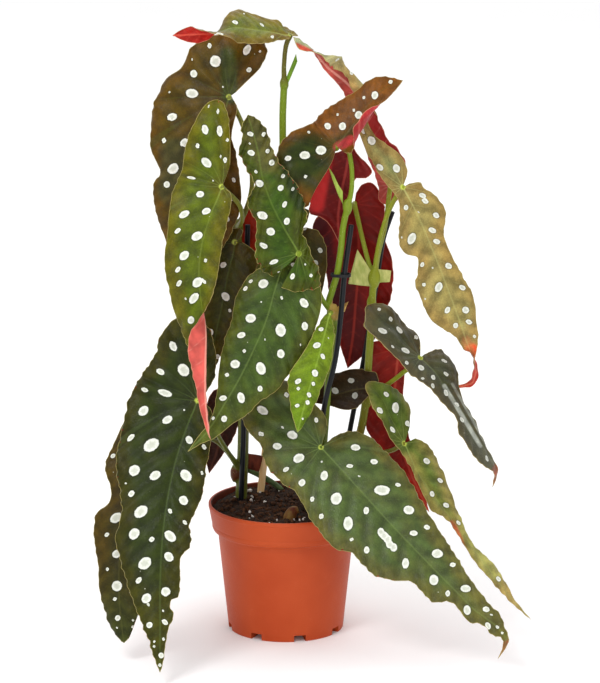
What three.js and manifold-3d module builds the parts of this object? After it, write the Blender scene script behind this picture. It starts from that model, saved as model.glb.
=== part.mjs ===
// Potted polka dot begonia: a terracotta coloured pot, soil, four canes and their leaves.
// Millimetres, +Z up, front towards -Y, origin at the centre of the pot's underside.
import * as THREE from "three";
import { mergeVertices } from "three/addons/utils/BufferGeometryUtils.js";
import Module from "manifold-3d";

const wasm = await Module();
wasm.setup();

// Driving dimensions of the pot and the soil
const POT_HEIGHT = 100;
const BASE_RADIUS = 44.6;
const RIM_RADIUS = 60;
const STEP_HEIGHT = 79.5;
const WALL_FOOT = 7;
const POT_SIDES = 44;
const NOTCH = { count: 8, width: 9.4, height: 5.2, depth: 20, turn: 0.25 };
const DRAIN = { count: 4, radius: 4, ring: 15, sides: 12 };
const SOIL_TOP = 92;
const SOIL_BUMP = 1.6;
const SOIL_SLOPE = 0.05;
const SOIL_SIDES = 32;
const GAP = 0.3;
const STEM_DEPTH = 26;

// Driving dimensions of the plant
const BLADE = 0.8;
const STALK_RADIUS = [1.9, 1.6];
const STALK_SIDES = 6;
const CANE_SIDES = 8;
const CANE_STEP = 18;
const STALK_STEP = 11;
const STAKE_RADIUS = 2;
const STALK_GAP = 0.9;
const STALK_TURN = 7;
const ROW_STEP = 13.5;
const FOLD_STEP = 6.5;
const FAN_STEP = 11.5;
const STICK = { width: 5.5, thick: 1.5, length: 74 };
const TIE = { height: 2.2, wall: 1.1, reach: 3.7 };

const COLOURS = {
  green: 0x4a5a2c, bronze: 0x6b5a28, dark: 0x33402a, red: 0x8e2420, cane: 0x8d9f4c,
  pot: 0xba4e28, soil: 0x2e211a, stake: 0x161c22, tie: 0x2a2a2a, stick: 0xd9b98a,
};

// Each leaf: spine from the back lobe's end, over the stalk's joint, to the tip; face is the way its
// upper side looks; half is the half width of its narrow and wide side; cup and bend curve the blade
// across; fold turns the narrow side back under the blade past a line; the two edges are points (along
// the midrib, across it), from the stalk's joint to the tip.
const LEAVES = [
  {"name": "leaf_top_left", "tone": "green", "half": [20, 26], "mirror": 0, "wave": 1, "strips": 2,
    "cup": [0.1], "bend": [[0.4], [0.4]],
    "face": [[0.1, -0.6, 0.8], [0.1, -0.6, 0.8], [0.1, -0.6, 0.8], [0, -0.6, 0.8], [0, -0.55, 0.8],
      [-0.1, 0.2, 1], [-0.1, 0.8, 0.5], [-0.1, 0.9, 0.35]],
    "spine": [[9, 8, 469], [4, 0, 468], [-12, -8, 472], [-25, -14, 475], [-39, -18, 477], [-52, -20, 474],
      [-68, -17, 472], [-85, -12, 470]],
    "narrow": [[3, 4], [9, 6], [23, 12], [36, 15], [47, 15], [63, 11], [70, 12], [79, 10], [88, 6]],
    "wide": [[-4, 4], [-7, 1], [-7, -8], [0, -15], [15, -14], [25, -17], [37, -22], [45, -20], [53, -14],
      [62, -9], [69, -10], [79, -9], [88, -5]]},
  {"name": "leaf_top_red", "tone": "red", "half": [26, 16], "mirror": 0, "wave": 0.6, "strips": 5,
    "cup": [0], "bend": [[0.05], [0.3]],
    "fold": {"radius": 2, "turn": [0, 0, 0, 0.2, 1.8, 2.9, 2.9, 0.4, 0],
      "at": [8, 8, 8, 8, 8, 8, 8, 8, 8, 8, 7.5, 7.5, 12.5, 12, 5, 5, 5]},
    "face": [[0.1, 0.95, 0.2], [0.1, 0.95, 0.2], [0.1, 0.95, 0.2], [0.1, 0.95, 0.2], [0.1, 0.95, 0.2],
      [0.1, 0.95, 0.2], [0.1, 0.95, 0.2], [0.2, -0.2, 0.9], [0.2, -0.8, 0.6]],
    "spine": [[86, 20, 332], [81, 18, 348], [72, 17, 368], [65, 19, 387], [59, 20, 404], [52, 18, 421],
      [31, 11, 442], [19, 1, 458], [6, -8, 468]],
    "narrow": [[5, 10], [9, 16], [14, 18], [20, 17], [27, 16], [33, 12], [45, 11], [55, 12], [64, 15],
      [71, 18], [78, 20], [85, 20], [92, 16], [98, 18], [104, 23], [110, 26], [116, 25], [122, 19],
      [127, 10], [133, 7], [140, 9], [145, 7]],
    "wide": [[-5, 6], [-10, 5], [-14, 0], [-15, -8], [-9, -13], [2, -10], [20, -8], [47, -8], [62, -9],
      [78, -8], [95, -5], [110, -3], [120, -2], [133, -2], [144, -2]]},
  {"name": "leaf_left_high", "tone": "bronze", "half": [30, 38], "mirror": 0, "wave": 2, "strips": 2,
    "cup": [0.1], "bend": [[0.35], [0.35]], "face": [[-0.15, -0.95, 0.3]],
    "spine": [[-32, 12, 452], [-43, 0, 420], [-49, -8, 400], [-55, -13, 375], [-60, -16, 350],
      [-66, -17, 322], [-71, -16, 290], [-75, -14, 265]],
    "narrow": [[2, 5], [8, 9], [28, 10], [44, 18], [62, 24], [79, 28], [93, 27], [110, 23], [147, 8]],
    "wide": [[-5, 4], [-24, 14], [-39, 18], [-49, 11], [-49, -7], [-41, -28], [-28, -41], [-12, -44],
      [-1, -54], [12, -57], [30, -57], [50, -52], [66, -40], [81, -44], [98, -38], [113, -29], [146, -8]]},
  {"name": "leaf_left_front", "tone": "green", "half": [26, 30], "mirror": 0, "wave": 2, "strips": 4,
    "cup": [0.1, 0.1, 0.1, 0.1, 0.1, 0.35, 1, 1.2, 1.2, 1], "bend": [[0.3, 0.3, 0.1, 0.2], [0.3, 0.3, 0.2, 0.2]],
    "face": [[-0.1, -0.92, 0.35], [-0.1, -0.92, 0.35], [-0.1, -0.92, 0.35], [-0.1, -0.92, 0.35],
      [-0.1, -0.92, 0.35], [-0.6, -0.75, 0.2], [-1, 0, 0.1], [-1, 0.1, 0], [-1, 0.1, 0], [-1, 0, 0]],
    "spine": [[-52, -30, 414], [-48, -48, 361], [-57, -56, 339], [-63, -62, 318], [-65, -66, 295],
      [-63, -70, 276], [-60, -76, 257], [-60, -82, 235], [-60, -88, 206], [-57, -93, 176]],
    "narrow": [[1, 4], [4, 9], [17, 13], [39, 15], [62, 15], [92, 11], [104, 12], [114, 15], [126, 15],
      [137, 12], [152, 8], [178, 4]],
    "wide": [[-17, 5], [-48, 9], [-63, 6], [-66, -2], [-61, -10], [-50, -18], [-33, -28], [9, -35],
      [25, -32], [44, -28], [61, -27], [77, -24], [108, -24], [118, -19], [140, -10], [155, -7], [184, -3]]},
  {"name": "leaf_centre_crinkled", "tone": "green", "half": [24, 27], "mirror": 0, "wave": 3, "strips": 2,
    "cup": [0.1], "bend": [[0.35], [0.35]], "face": [[0, -0.9, 0.4]],
    "spine": [[17, -60, 288], [10, -56, 311], [-1, -56, 331], [-10, -56, 349], [-17, -55, 369],
      [-21, -51, 391], [-28, -52, 417]],
    "narrow": [[-12, 24], [-4, 30], [8, 31], [19, 28], [36, 17], [52, 17], [59, 8], [69, 9],
      [82, 14], [88, 14], [100, 9], [108, 6]],
    "wide": [[-21, 20], [-26, 12], [-29, 1], [-27, -9], [-16, -11], [-4, -9], [12, -11], [22, -20],
      [38, -24], [56, -22], [75, -15], [83, -11], [96, -11], [108, -7]]},
  {"name": "leaf_centre_dark", "tone": "dark", "half": [20, 15], "mirror": 0, "wave": 2, "strips": 2,
    "cup": [0.1], "bend": [[0.35], [0.35]], "face": [[0.1, -0.97, 0.2]],
    "spine": [[9, -14, 343], [11, -18, 322], [14, -21, 304], [16, -23, 283], [17, -24, 259], [15, -24, 232]],
    "narrow": [[0, 5], [5, 14], [15, 17], [29, 17], [45, 13], [60, 8], [75, 3]],
    "wide": [[-4, 6], [-13, 8], [-18, -2], [-14, -11], [-3, -14], [27, -15], [46, -12], [64, -8], [82, -3]]},
  {"name": "leaf_top_arched", "tone": "bronze", "half": [24, 32], "mirror": 1, "wave": 1.5, "strips": 4,
    "cup": [0.1], "bend": [[0.2, -0.9, -2, -1.9, -0.8, 0.2], [0.5]], "face": [[-0.3, -0.9, 0.35]],
    "spine": [[3, -33, 378], [38, -26, 388], [49, -22, 400], [61, -16, 416], [75, -11, 429], [89, -6, 434]],
    "narrow": [[1, 10], [3, 18], [8, 24], [16, 27], [28, 25], [40, 18], [50, 13], [62, 7]],
    "wide": [[-32, 38], [-44, 37], [-45, 21], [-46, 2], [-44, -9], [-34, -19], [-24, -23],
      [14, -28], [30, -21], [41, -15], [52, -14], [62, -9]]},
  {"name": "leaf_red_flap", "tone": "red", "half": [24, 20], "mirror": 0, "wave": 2, "strips": 2,
    "cup": [0.1], "bend": [[0.35], [0.35]], "face": [[0.1, 0.97, -0.1]],
    "spine": [[51, -14, 391], [49, -14, 383], [46, -13, 366], [42, -11, 346], [40, -8, 326], [42, -4, 305]],
    "narrow": [[3, 6], [8, 14], [15, 21], [25, 23], [35, 22], [47, 23], [54, 22], [56, 14], [63, 6]],
    "wide": [[-1, -3], [6, -10], [11, -18], [15, -20], [20, -16], [24, -8], [53, -7], [68, -5]]},
  {"name": "leaf_red_back", "tone": "red", "half": [28, 26], "mirror": 0, "wave": 2, "strips": 2,
    "cup": [0.1], "bend": [[0.35], [0.35]], "face": [[0, 1, -0.1]],
    "spine": [[53, 32, 342], [53, 32, 330], [56, 31, 305], [56, 31, 277], [54, 31, 250], [52, 32, 224],
      [48, 34, 198]],
    "narrow": [[-2, 8], [-1, 17], [5, 28], [13, 35], [29, 33], [47, 27], [70, 22], [90, 15], [107, 12], [121, 6]],
    "wide": [[-8, -1], [-15, -6], [-16, -14], [-6, -21], [9, -23], [26, -20], [43, -26], [63, -28], [82, -25],
      [102, -19], [120, -10]]},
  {"name": "leaf_right_high", "tone": "bronze", "half": [24, 26], "mirror": 0, "wave": 2, "strips": 2,
    "cup": [0.1], "bend": [[0.35], [0.35]],
    "face": [[0.1, -0.9, 0.4], [0.1, -0.9, 0.4], [0.1, -0.9, 0.4], [0.1, -0.9, 0.4], [0.1, -0.9, 0.4],
      [0.1, -0.9, 0.4], [-0.2, -0.6, 0.5], [-0.9, 0.1, 0.2], [-0.4, 0.8, 0.3], [0, 0.9, 0.3]],
    "spine": [[60, -4, 403], [89, -18, 354], [100, -24, 334], [111, -29, 309], [121, -33, 284],
      [130, -35, 260], [138, -36, 237], [144, -33, 219], [142, -27, 203], [128, -22, 198]],
    "narrow": [[0, 6], [3, 14], [8, 14], [18, 20], [32, 21], [45, 13], [59, 12], [76, 14], [98, 17],
      [113, 13], [126, 10], [136, 7], [162, 4]],
    "wide": [[-6, 7], [-11, 10], [-23, 10], [-44, 1], [-59, 1], [-54, -8], [-28, -11], [-12, -11], [7, -8],
      [25, -16], [38, -22], [48, -20], [54, -13], [66, -18], [74, -22], [100, -21], [114, -13], [125, -6],
      [162, -4]]},
  {"name": "leaf_right_dark", "tone": "dark", "half": [24, 24], "mirror": 0, "wave": 2, "strips": 2,
    "cup": [0.1], "bend": [[0.2], [0.2]],
    "face": [[0.45, -0.6, 0.65], [0.5, -0.55, 0.65], [0.62, -0.4, 0.65], [0.66, -0.36, 0.65], [0.66, -0.36, 0.65]],
    "spine": [[66, -20, 259], [103, -28, 223], [115, -34, 212], [125, -40, 197], [136, -46, 183],
      [145, -51, 169], [154, -56, 155], [161, -59, 142], [158, -60, 129]],
    "narrow": [[0, 6], [3, 19], [8, 24], [23, 22], [34, 15], [47, 9], [57, 9], [70, 7], [84, 4], [107, 2]],
    "wide": [[-5, 6], [-11, 13], [-24, 16], [-48, 11], [-57, 1], [-52, -10], [-41, -18], [-6, -19],
      [16, -19], [33, -14], [45, -12], [56, -12], [65, -18], [81, -20], [97, -12], [108, -3]]},
  {"name": "leaf_centre_broad", "tone": "green", "half": [28, 38], "mirror": 1, "wave": 2, "strips": 2,
    "cup": [0.1], "bend": [[0.35], [0.35]], "face": [[-0.1, -0.93, 0.35]],
    "spine": [[8, -36, 323], [-1, -44, 302], [-8, -52, 282], [-15, -60, 259], [-24, -66, 239],
      [-34, -70, 219], [-46, -75, 199], [-59, -80, 179], [-74, -84, 164]],
    "narrow": [[2, 6], [8, 15], [17, 22], [27, 26], [38, 28], [61, 25], [78, 23], [98, 17], [114, 9],
      [133, 3], [147, 3]],
    "wide": [[-3, -2], [-6, -9], [-1, -22], [13, -34], [32, -38], [65, -35], [81, -31], [89, -30], [101, -23],
      [118, -18], [127, -13], [141, -8], [152, -3]]},
  {"name": "leaf_young", "tone": "green", "half": [11, 18], "mirror": 0, "wave": 1, "strips": 2,
    "cup": [0.1], "bend": [[0.35], [0.35]], "face": [[0.1, -0.97, 0.2]],
    "spine": [[37, -42, 269], [34, -47, 263], [30, -63, 252], [25, -76, 236], [19, -83, 217],
      [14, -85, 199], [9, -87, 180]],
    "narrow": [[5, 3], [16, 7], [30, 9], [43, 11], [58, 10], [76, 8], [93, 5]],
    "wide": [[3, -3], [9, -5], [22, -8], [37, -11], [50, -15], [62, -18], [74, -14], [86, -9], [96, -3]]},
  {"name": "leaf_left_low", "tone": "green", "half": [26, 44], "mirror": 0, "wave": 3, "strips": 2,
    "cup": [0.1], "bend": [[0.35], [0.35]], "face": [[-0.1, -0.9, 0.45]],
    "spine": [[-62, -48, 256], [-67, -58, 197], [-75, -65, 178], [-82, -76, 159], [-88, -92, 136],
      [-92, -108, 110], [-94, -124, 79], [-94, -139, 45], [-94, -151, 11]],
    "narrow": [[0, 5], [2, 11], [9, 17], [25, 21], [56, 25], [77, 25], [97, 20], [115, 22], [125, 15],
      [152, 15], [160, 8], [171, 10], [181, 6], [194, 4], [207, 2]],
    "wide": [[-7, 5], [-21, 10], [-39, 10], [-57, 3], [-64, -11], [-59, -24], [-47, -33], [-32, -38],
      [-15, -47], [6, -51], [24, -50], [42, -48], [62, -44], [86, -35], [100, -34], [111, -37], [127, -32],
      [150, -24], [171, -16], [188, -9], [203, -4]]},
  {"name": "leaf_left_lowest", "tone": "bronze", "half": [26, 26], "mirror": 0, "wave": 2, "strips": 2,
    "cup": [0.1], "bend": [[0.35], [0.35]], "face": [[-0.2, -0.95, 0.25]],
    "spine": [[-103, -47, 198], [-110, -54, 173], [-117, -69, 142], [-122, -80, 111], [-126, -90, 79],
      [-126, -96, 47], [-123, -96, 16]],
    "narrow": [[5, 8], [16, 13], [42, 17], [73, 17], [106, 17], [135, 16], [150, 14], [160, 7]],
    "wide": [[-8, -2], [-10, -9], [-1, -15], [12, -18], [29, -22], [37, -20], [49, -14], [59, -14], [67, -22],
      [75, -24], [92, -21], [106, -17], [124, -16], [140, -13], [152, -11], [160, -6]]},
  {"name": "leaf_left_shaded", "tone": "dark", "half": [20, 22], "mirror": 0, "wave": 2, "strips": 2,
    "cup": [0.1], "bend": [[0.35], [0.35]], "face": [[-0.1, -0.95, 0.2]],
    "spine": [[-40, -2, 318], [-39, -5, 308], [-44, -8, 284], [-49, -11, 258], [-55, -16, 231],
      [-59, -22, 201]],
    "narrow": [[0, 6], [7, 18], [22, 20], [46, 16], [61, 14], [75, 11], [88, 7], [99, 3]],
    "wide": [[-3, 5], [-9, 7], [-11, -5], [-8, -16], [5, -21], [33, -22], [55, -17], [77, -11], [99, -3]]},
  {"name": "leaf_front_right", "tone": "green", "half": [34, 42], "mirror": 0, "wave": 2, "strips": 2,
    "cup": [0.1], "bend": [[0.35], [0.35]], "face": [[0.05, -0.85, 0.5]],
    "spine": [[-11, -26, 195], [27, -50, 158], [53, -70, 134], [81, -88, 107], [110, -104, 80],
      [139, -117, 53], [166, -126, 26], [160, -126, 13]],
    "narrow": [[0, 15], [3, 24], [11, 32], [23, 36], [55, 36], [78, 32], [102, 26], [133, 20], [153, 15],
      [168, 13], [180, 11], [189, 8], [197, 4], [206, 2]],
    "wide": [[-10, 15], [-18, 19], [-46, 19], [-60, 14], [-67, -1], [-65, -21], [-52, -33],
      [-30, -34], [-20, -40], [3, -41], [15, -38], [39, -43], [66, -45], [79, -37], [99, -37], [113, -30],
      [126, -19], [145, -19], [158, -8], [174, -10], [181, -6], [191, -7], [199, -4], [206, -2]]},
  {"name": "leaf_right_low", "tone": "green", "half": [26, 20], "mirror": 0, "wave": 2, "strips": 2,
    "cup": [0.1], "bend": [[0.3], [0.3]],
    "face": [[0.4, -0.72, 0.6], [0.45, -0.7, 0.6], [0.6, -0.6, 0.5], [0.6, -0.55, 0.5], [0.6, -0.5, 0.5],
      [0.4, -0.7, 0.6]],
    "spine": [[69, -18, 195], [91, -32, 156], [102, -40, 134], [114, -47, 118], [127, -54, 102],
      [141, -60, 85], [156, -65, 65], [172, -68, 44], [188, -68, 26]],
    "narrow": [[0, 11], [3, 15], [11, 21], [22, 24], [36, 22], [50, 17], [62, 12], [74, 8], [84, 4], [95, 2],
      [106, 5], [119, 8], [134, 6], [147, 2]],
    "wide": [[-12, 14], [-23, 21], [-36, 19], [-47, 11], [-55, 0], [-47, -8], [-14, -10], [6, -6],
      [22, -4], [40, -8], [55, -11], [63, -6], [73, -4], [86, -6], [104, -8], [123, -6], [138, -4]]},
  {"name": "leaf_red_low", "tone": "red", "half": [20, 14], "mirror": 0, "wave": 2, "strips": 2,
    "cup": [0.1], "bend": [[0.35], [0.35]], "face": [[-0.1, 0.97, 0.1]],
    "spine": [[86, 22, 234], [87, 22, 217], [85, 22, 193], [84, 21, 172], [88, 12, 147], [98, -3, 121],
      [111, -16, 96]],
    "narrow": [[-3, 6], [-8, 14], [-5, 21], [13, 23], [37, 22], [53, 25], [64, 23], [76, 17], [95, 11], [116, 6]],
    "wide": [[-7, -1], [-2, -5], [8, -7], [39, -7], [61, -8], [82, -8], [103, -7], [121, -3]]},
  {"name": "leaf_small_dark", "tone": "dark", "half": [14, 16], "mirror": 0, "wave": 1, "strips": 2,
    "cup": [0.1], "bend": [[0.35], [0.35]], "face": [[0, -0.85, 0.45]],
    "spine": [[71, -4, 196], [65, -4, 193], [53, -4, 191], [42, -4, 188], [28, -3, 185], [15, -2, 181]],
    "narrow": [[2, 6], [10, 13], [21, 14], [31, 9], [43, 4]],
    "wide": [[-3, 3], [-7, 1], [-9, -6], [-6, -11], [4, -16], [15, -17], [27, -17], [40, -13]]},
  {"name": "leaf_red_gap", "tone": "red", "half": [22, 24], "mirror": 1, "wave": 2, "strips": 2,
    "cup": [0.1], "bend": [[0.35], [0.35]], "face": [[0.1, 0.97, 0]],
    "spine": [[-4, 25, 322], [-14, 24, 304], [-20, 24, 295], [-26, 24, 285], [-33, 24, 274], [-38, 24, 262]],
    "narrow": [[4, 6], [14, 13], [28, 13], [39, 8]],
    "wide": [[-5, 3], [-16, 4], [-27, -1], [-28, -12], [-25, -22], [-17, -26], [-3, -26], [12, -21], [28, -18],
      [38, -8]]},
  {"name": "leaf_shadow", "tone": "red", "half": [14, 14], "mirror": 0, "wave": 2, "strips": 2,
    "cup": [0.1], "bend": [[0.35], [0.35]], "face": [[0, 0.98, 0.1]],
    "spine": [[-46, 36, 196], [-46, 34, 184], [-47, 32, 167], [-49, 30, 149], [-54, 28, 132], [-60, 26, 115]],
    "narrow": [[2, 5], [5, 11], [15, 15], [33, 16], [50, 13], [61, 7]],
    "wide": [[-8, -2], [-1, -9], [10, -12], [32, -11], [43, -8], [55, -5]]},
];

// Each cane: its path from the soil up, its radius at both ends, the leaf stalks that leave it, its
// swollen knuckles (centre and radius) and its dry sheaths (corner points of a thin flap).
const CANES = [
  {"name": "cane_left", "radius": [4.4, 3.4],
    "path": [[-35, 25, 92], [-34, 24, 119], [-33, 22, 152], [-33, 20, 184], [-34, 18, 225], [-34, 14, 258],
      [-37, 10, 290], [-37, 6, 318]],
    "stalks": [
      {"leaf": "leaf_left_high", "path": [[-37, 6, 318], [-31, 2, 330], [-26, 0, 348], [-27, 0, 371], [-32, 2, 396]]},
      {"leaf": "leaf_left_front", "path": [[-37, 6, 317], [-33, -14, 328], [-36, -32, 345]]},
      {"leaf": "leaf_left_shaded", "path": [[-37, 10, 289], [-39, 0, 302]]},
      {"leaf": "leaf_red_gap", "path": [[-34, 14, 258], [-21, 18, 281]]},
      {"leaf": "leaf_shadow", "path": [[-33, 20, 178], [-40, 22, 184]]},
      {"leaf": "leaf_left_low", "path": [[-36, 24, 119], [-41, 10, 131], [-51, -20, 157], [-61, -42, 184]]},
      {"leaf": "leaf_left_lowest", "path": [[-36, 26, 120], [-54, -4, 150], [-73, -34, 164], [-94, -45, 171]]}],
    "knuckles": [[-37, 7, 316, 4.8], [-39, 24, 116, 4.6]],
    "sheaths": [[[-33, 26, 120], [-21, 28, 116], [-18, 28, 129], [-32, 26, 132]]]},
  {"name": "cane_top", "radius": [3, 2.7],
    "path": [[20, 22, 92], [20, 20, 136], [17, 18, 177], [13, 14, 218], [7, 8, 259], [2, 2, 300],
      [-1, 2, 339], [-2, 4, 378], [-2, 5, 409], [-1, 5, 429]],
    "stalks": [
      {"leaf": "leaf_top_left", "path": [[-1, 5, 428], [-1, 4, 446]]},
      {"leaf": "leaf_top_arched", "path": [[-2, 4, 362], [11, 2, 367], [27, -6, 381]]},
      {"leaf": "leaf_centre_dark", "path": [[1, 2, 308], [8, -5, 317]]},
      {"leaf": "leaf_centre_broad", "path": [[6, 7, 265], [-8, -4, 278], [-11, -22, 290]]}],
    "knuckles": [[-1, 5, 429, 3.6], [-2, 4, 362, 3.4], [2, 2, 302, 3.8], [6, 7, 265, 4]],
    "sheaths": [[[-2, 5, 428], [1, 5, 427], [9, 7, 446], [8, 7, 452]]]},
  {"name": "cane_centre", "radius": [3.4, 2.6],
    "path": [[28, 8, 92], [28, 0, 128], [30, -10, 160], [32, -16, 190], [34, -22, 220], [36, -26, 257],
      [33, -27, 266], [35, -28, 274], [39, -28, 288], [42, -27, 307], [44, -25, 326], [47, -24, 340]],
    "stalks": [
      {"leaf": "leaf_red_flap", "path": [[47, -24, 339], [50, -24, 353], [50, -23, 371]]},
      {"leaf": "leaf_centre_crinkled", "path": [[36, -26, 257], [28, -34, 270], [20, -36, 292], [14, -38, 312]]},
      {"leaf": "leaf_young", "path": [[36, -26, 257], [35, -34, 260]]},
      {"leaf": "leaf_front_right", "path": [[28, 2, 116], [30, -14, 130], [29, -34, 147]]}],
    "knuckles": [[36, -26, 257, 5], [47, -24, 340, 3.8], [28, 2, 118, 4.6]],
    "sheaths": [[[46, -24, 336], [40, -25, 350], [33, -25, 371], [43, -24, 352]],
      [[37, -26, 255], [45, -28, 259], [48, -28, 267], [40, -27, 263]]]},
  {"name": "cane_right", "radius": [3.4, 2.7],
    "path": [[44, 8, 92], [51, 8, 131], [58, 8, 155], [62, 8, 180], [64, 8, 212], [66, 8, 243],
      [67, 8, 267], [68, 7, 278]],
    "stalks": [
      {"leaf": "leaf_right_high", "path": [[68, 7, 277], [70, 4, 296], [75, 0, 320], [80, -4, 335]]},
      {"leaf": "leaf_top_red", "path": [[68, 7, 276], [71, 12, 294], [76, 10, 316]]},
      {"leaf": "leaf_red_back", "path": [[67, 8, 276], [61, 13, 298], [56, 19, 318]]},
      {"leaf": "leaf_right_dark", "path": [[63, 8, 181], [79, -2, 195], [91, -14, 208]]},
      {"leaf": "leaf_right_low", "path": [[55, 8, 143], [69, 0, 140], [82, -16, 146]]},
      {"leaf": "leaf_small_dark", "path": [[62, 8, 178], [65, 5, 186]]},
      {"leaf": "leaf_red_low", "path": [[66, 8, 258], [76, 5, 242], [85, 5, 224]]}],
    "knuckles": [[68, 7, 277, 5], [63, 8, 181, 4.4], [56, 8, 145, 4.6], [66, 8, 257, 3.8]],
    "sheaths": [[[68, 6, 270], [48, 4, 273], [55, 4, 300], [66, 6, 282]],
      [[68, 7, 273], [80, 6, 274], [81, 6, 283], [70, 7, 284]]]},
];

// Each stake runs from the soil up beside a cane.
const STAKES = [
  {"name": "stake_left", "path": [[-35, 16, 92], [-33, 13, 146], [-31, 10, 230], [-29, 6, 319]]},
  {"name": "stake_centre", "path": [[15, -4, 92], [24, -16, 140], [30, -24, 185], [38, -30, 222],
    [42, -33, 257], [45, -29, 290], [50, -24, 326]]},
  {"name": "stake_right", "path": [[40, 19, 92], [50, 23, 152], [62, 23, 217], [70, 21, 270], [76, 21, 308],
    [82, 21, 326]]},
];
const TIE_AT = { "cane": [39, -28], "stake": [45, -29.2], "height": 288 };
const STICK_AT = { "foot": [-20.4, 38], "lean": 0.11 };

const V = (p) => new THREE.Vector3(p[0], p[1], p[2]);
const lerp = (a, b, w) => a + (b - a) * w;

// Value of an evenly spread list at the share t of its length
function spread(list, t) {
  const at = t * (list.length - 1);
  const i = Math.min(Math.floor(at), Math.max(0, list.length - 2));
  const next = list[Math.min(i + 1, list.length - 1)];
  if (Array.isArray(list[i])) {
    return list[i].map((value, k) => lerp(value, next[k], at - i));
  }
  return lerp(list[i], next, at - i);
}

// Point on a smooth line through a list of points, w of the way from point i to the next; marks are
// the lengths along the line at the points
function smooth(points, marks, i, w) {
  const run = (k) => marks[k + 1] - marks[k];
  const slope = (k, axis) => (points[k + 1][axis] - points[k][axis]) / run(k);
  const lean = (k, axis) => {
    if (k === 0) {
      return slope(0, axis);
    }
    if (k === points.length - 1) {
      return slope(k - 1, axis);
    }
    return (slope(k - 1, axis) * run(k) + slope(k, axis) * run(k - 1)) / (run(k - 1) + run(k));
  };
  return points[0].map((_, axis) => {
    const from = points[i][axis];
    const to = points[i + 1][axis];
    const t1 = lean(i, axis) * run(i);
    const t2 = lean(i + 1, axis) * run(i);
    return from + t1 * w + (3 * (to - from) - 2 * t1 - t2) * w * w + (2 * (from - to) + t1 + t2) * w ** 3;
  });
}

// A leaf's half width narrows from the middle to the tip
const TAPER = [[0, 1], [0.3, 1], [0.48, 0.85], [0.7, 0.58], [0.88, 0.28], [1, 0.06]];
function taper(share) {
  const u = Math.min(1, Math.max(0, share));
  const i = Math.max(0, TAPER.findIndex((q) => q[0] >= u) - 1);
  const [u0, v0] = TAPER[i];
  const [u1, v1] = TAPER[i + 1];
  return lerp(v0, v1, (u - u0) / (u1 - u0));
}

function measure(leaf) {
  const runs = leaf.spine.slice(1).map((p, i) => V(p).distanceTo(V(leaf.spine[i])));
  leaf.back = runs[0];
  leaf.marks = [-runs[0], 0];
  for (const run of runs.slice(1)) {
    leaf.marks.push(leaf.marks[leaf.marks.length - 1] + run);
  }
  leaf.length = leaf.marks[leaf.marks.length - 1];
}

// Midrib point, its direction, the upper side's normal and the way across, at a length along a leaf
function ribFrame(leaf, along) {
  const last = leaf.spine.length - 1;
  const a = Math.min(leaf.length, Math.max(-leaf.back, along));
  let i = 0;
  while (i < last - 1 && leaf.marks[i + 1] <= a) {
    i++;
  }
  const w = (a - leaf.marks[i]) / (leaf.marks[i + 1] - leaf.marks[i]);
  const nudge = 0.001;
  const ahead = V(smooth(leaf.spine, leaf.marks, i, w + nudge));
  const tangent = ahead.sub(V(smooth(leaf.spine, leaf.marks, i, w - nudge))).normalize();
  const middle = V(smooth(leaf.spine, leaf.marks, i, w)).addScaledVector(tangent, Math.min(0, along + leaf.back));
  const share = (i + w) / last;
  const normal = V(spread(leaf.face, share));
  normal.addScaledVector(tangent, -normal.dot(tangent)).normalize();
  const across = normal.clone().cross(tangent).multiplyScalar(leaf.mirror ? -1 : 1);
  return { middle, tangent, normal, across, share };
}

// Point of the blade's middle surface and its normal there
function bladePoint(leaf, along, across) {
  const rib = ribFrame(leaf, along);
  const side = across > 0 ? 0 : 1;
  const half = leaf.half[side];
  const width = half * taper(along / leaf.length);
  const cup = spread(leaf.cup, rib.share);
  let bend = spread(leaf.bend[side], rib.share);
  if (Math.abs(bend) < 0.001) {
    bend = 0.001;
  }
  const q = Math.min(Math.abs(across) / width, 1.8);
  let tilt = cup - bend * q;
  let out = width * (Math.sin(cup) - Math.sin(tilt)) / bend;
  let lift = width * (Math.cos(tilt) - Math.cos(cup)) / bend;
  if (leaf.fold && across > 0) {
    const past = across - spread(leaf.fold.at, rib.share);
    const turn = Math.min(spread(leaf.fold.turn, rib.share), past / leaf.fold.radius);
    if (turn > 0) {
      const back = past - turn * leaf.fold.radius;
      tilt = -turn;
      out = across - past + leaf.fold.radius * Math.sin(turn) + back * Math.cos(turn);
      lift = leaf.fold.radius * (Math.cos(turn) - 1) - back * Math.sin(turn);
    }
  }
  const edge = Math.min(1.2, Math.hypot(Math.min(along, 0), across) / half);
  const ripple = 0.6 * Math.sin(0.13 * along + 0.1 * across + 1.7 * leaf.seed)
    + 0.4 * Math.sin(0.22 * along - 0.16 * across + 2.3 * leaf.seed);
  lift += leaf.wave * edge * edge * ripple;
  const way = across > 0 ? 1 : -1;
  const point = rib.middle.clone().addScaledVector(rib.across, way * out).addScaledVector(rib.normal, lift);
  const lean = across === 0 ? 0 : tilt;
  const normal = rib.normal.clone().multiplyScalar(Math.cos(lean));
  normal.addScaledVector(rib.across, -way * Math.sin(lean));
  return { point, normal };
}

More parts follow.
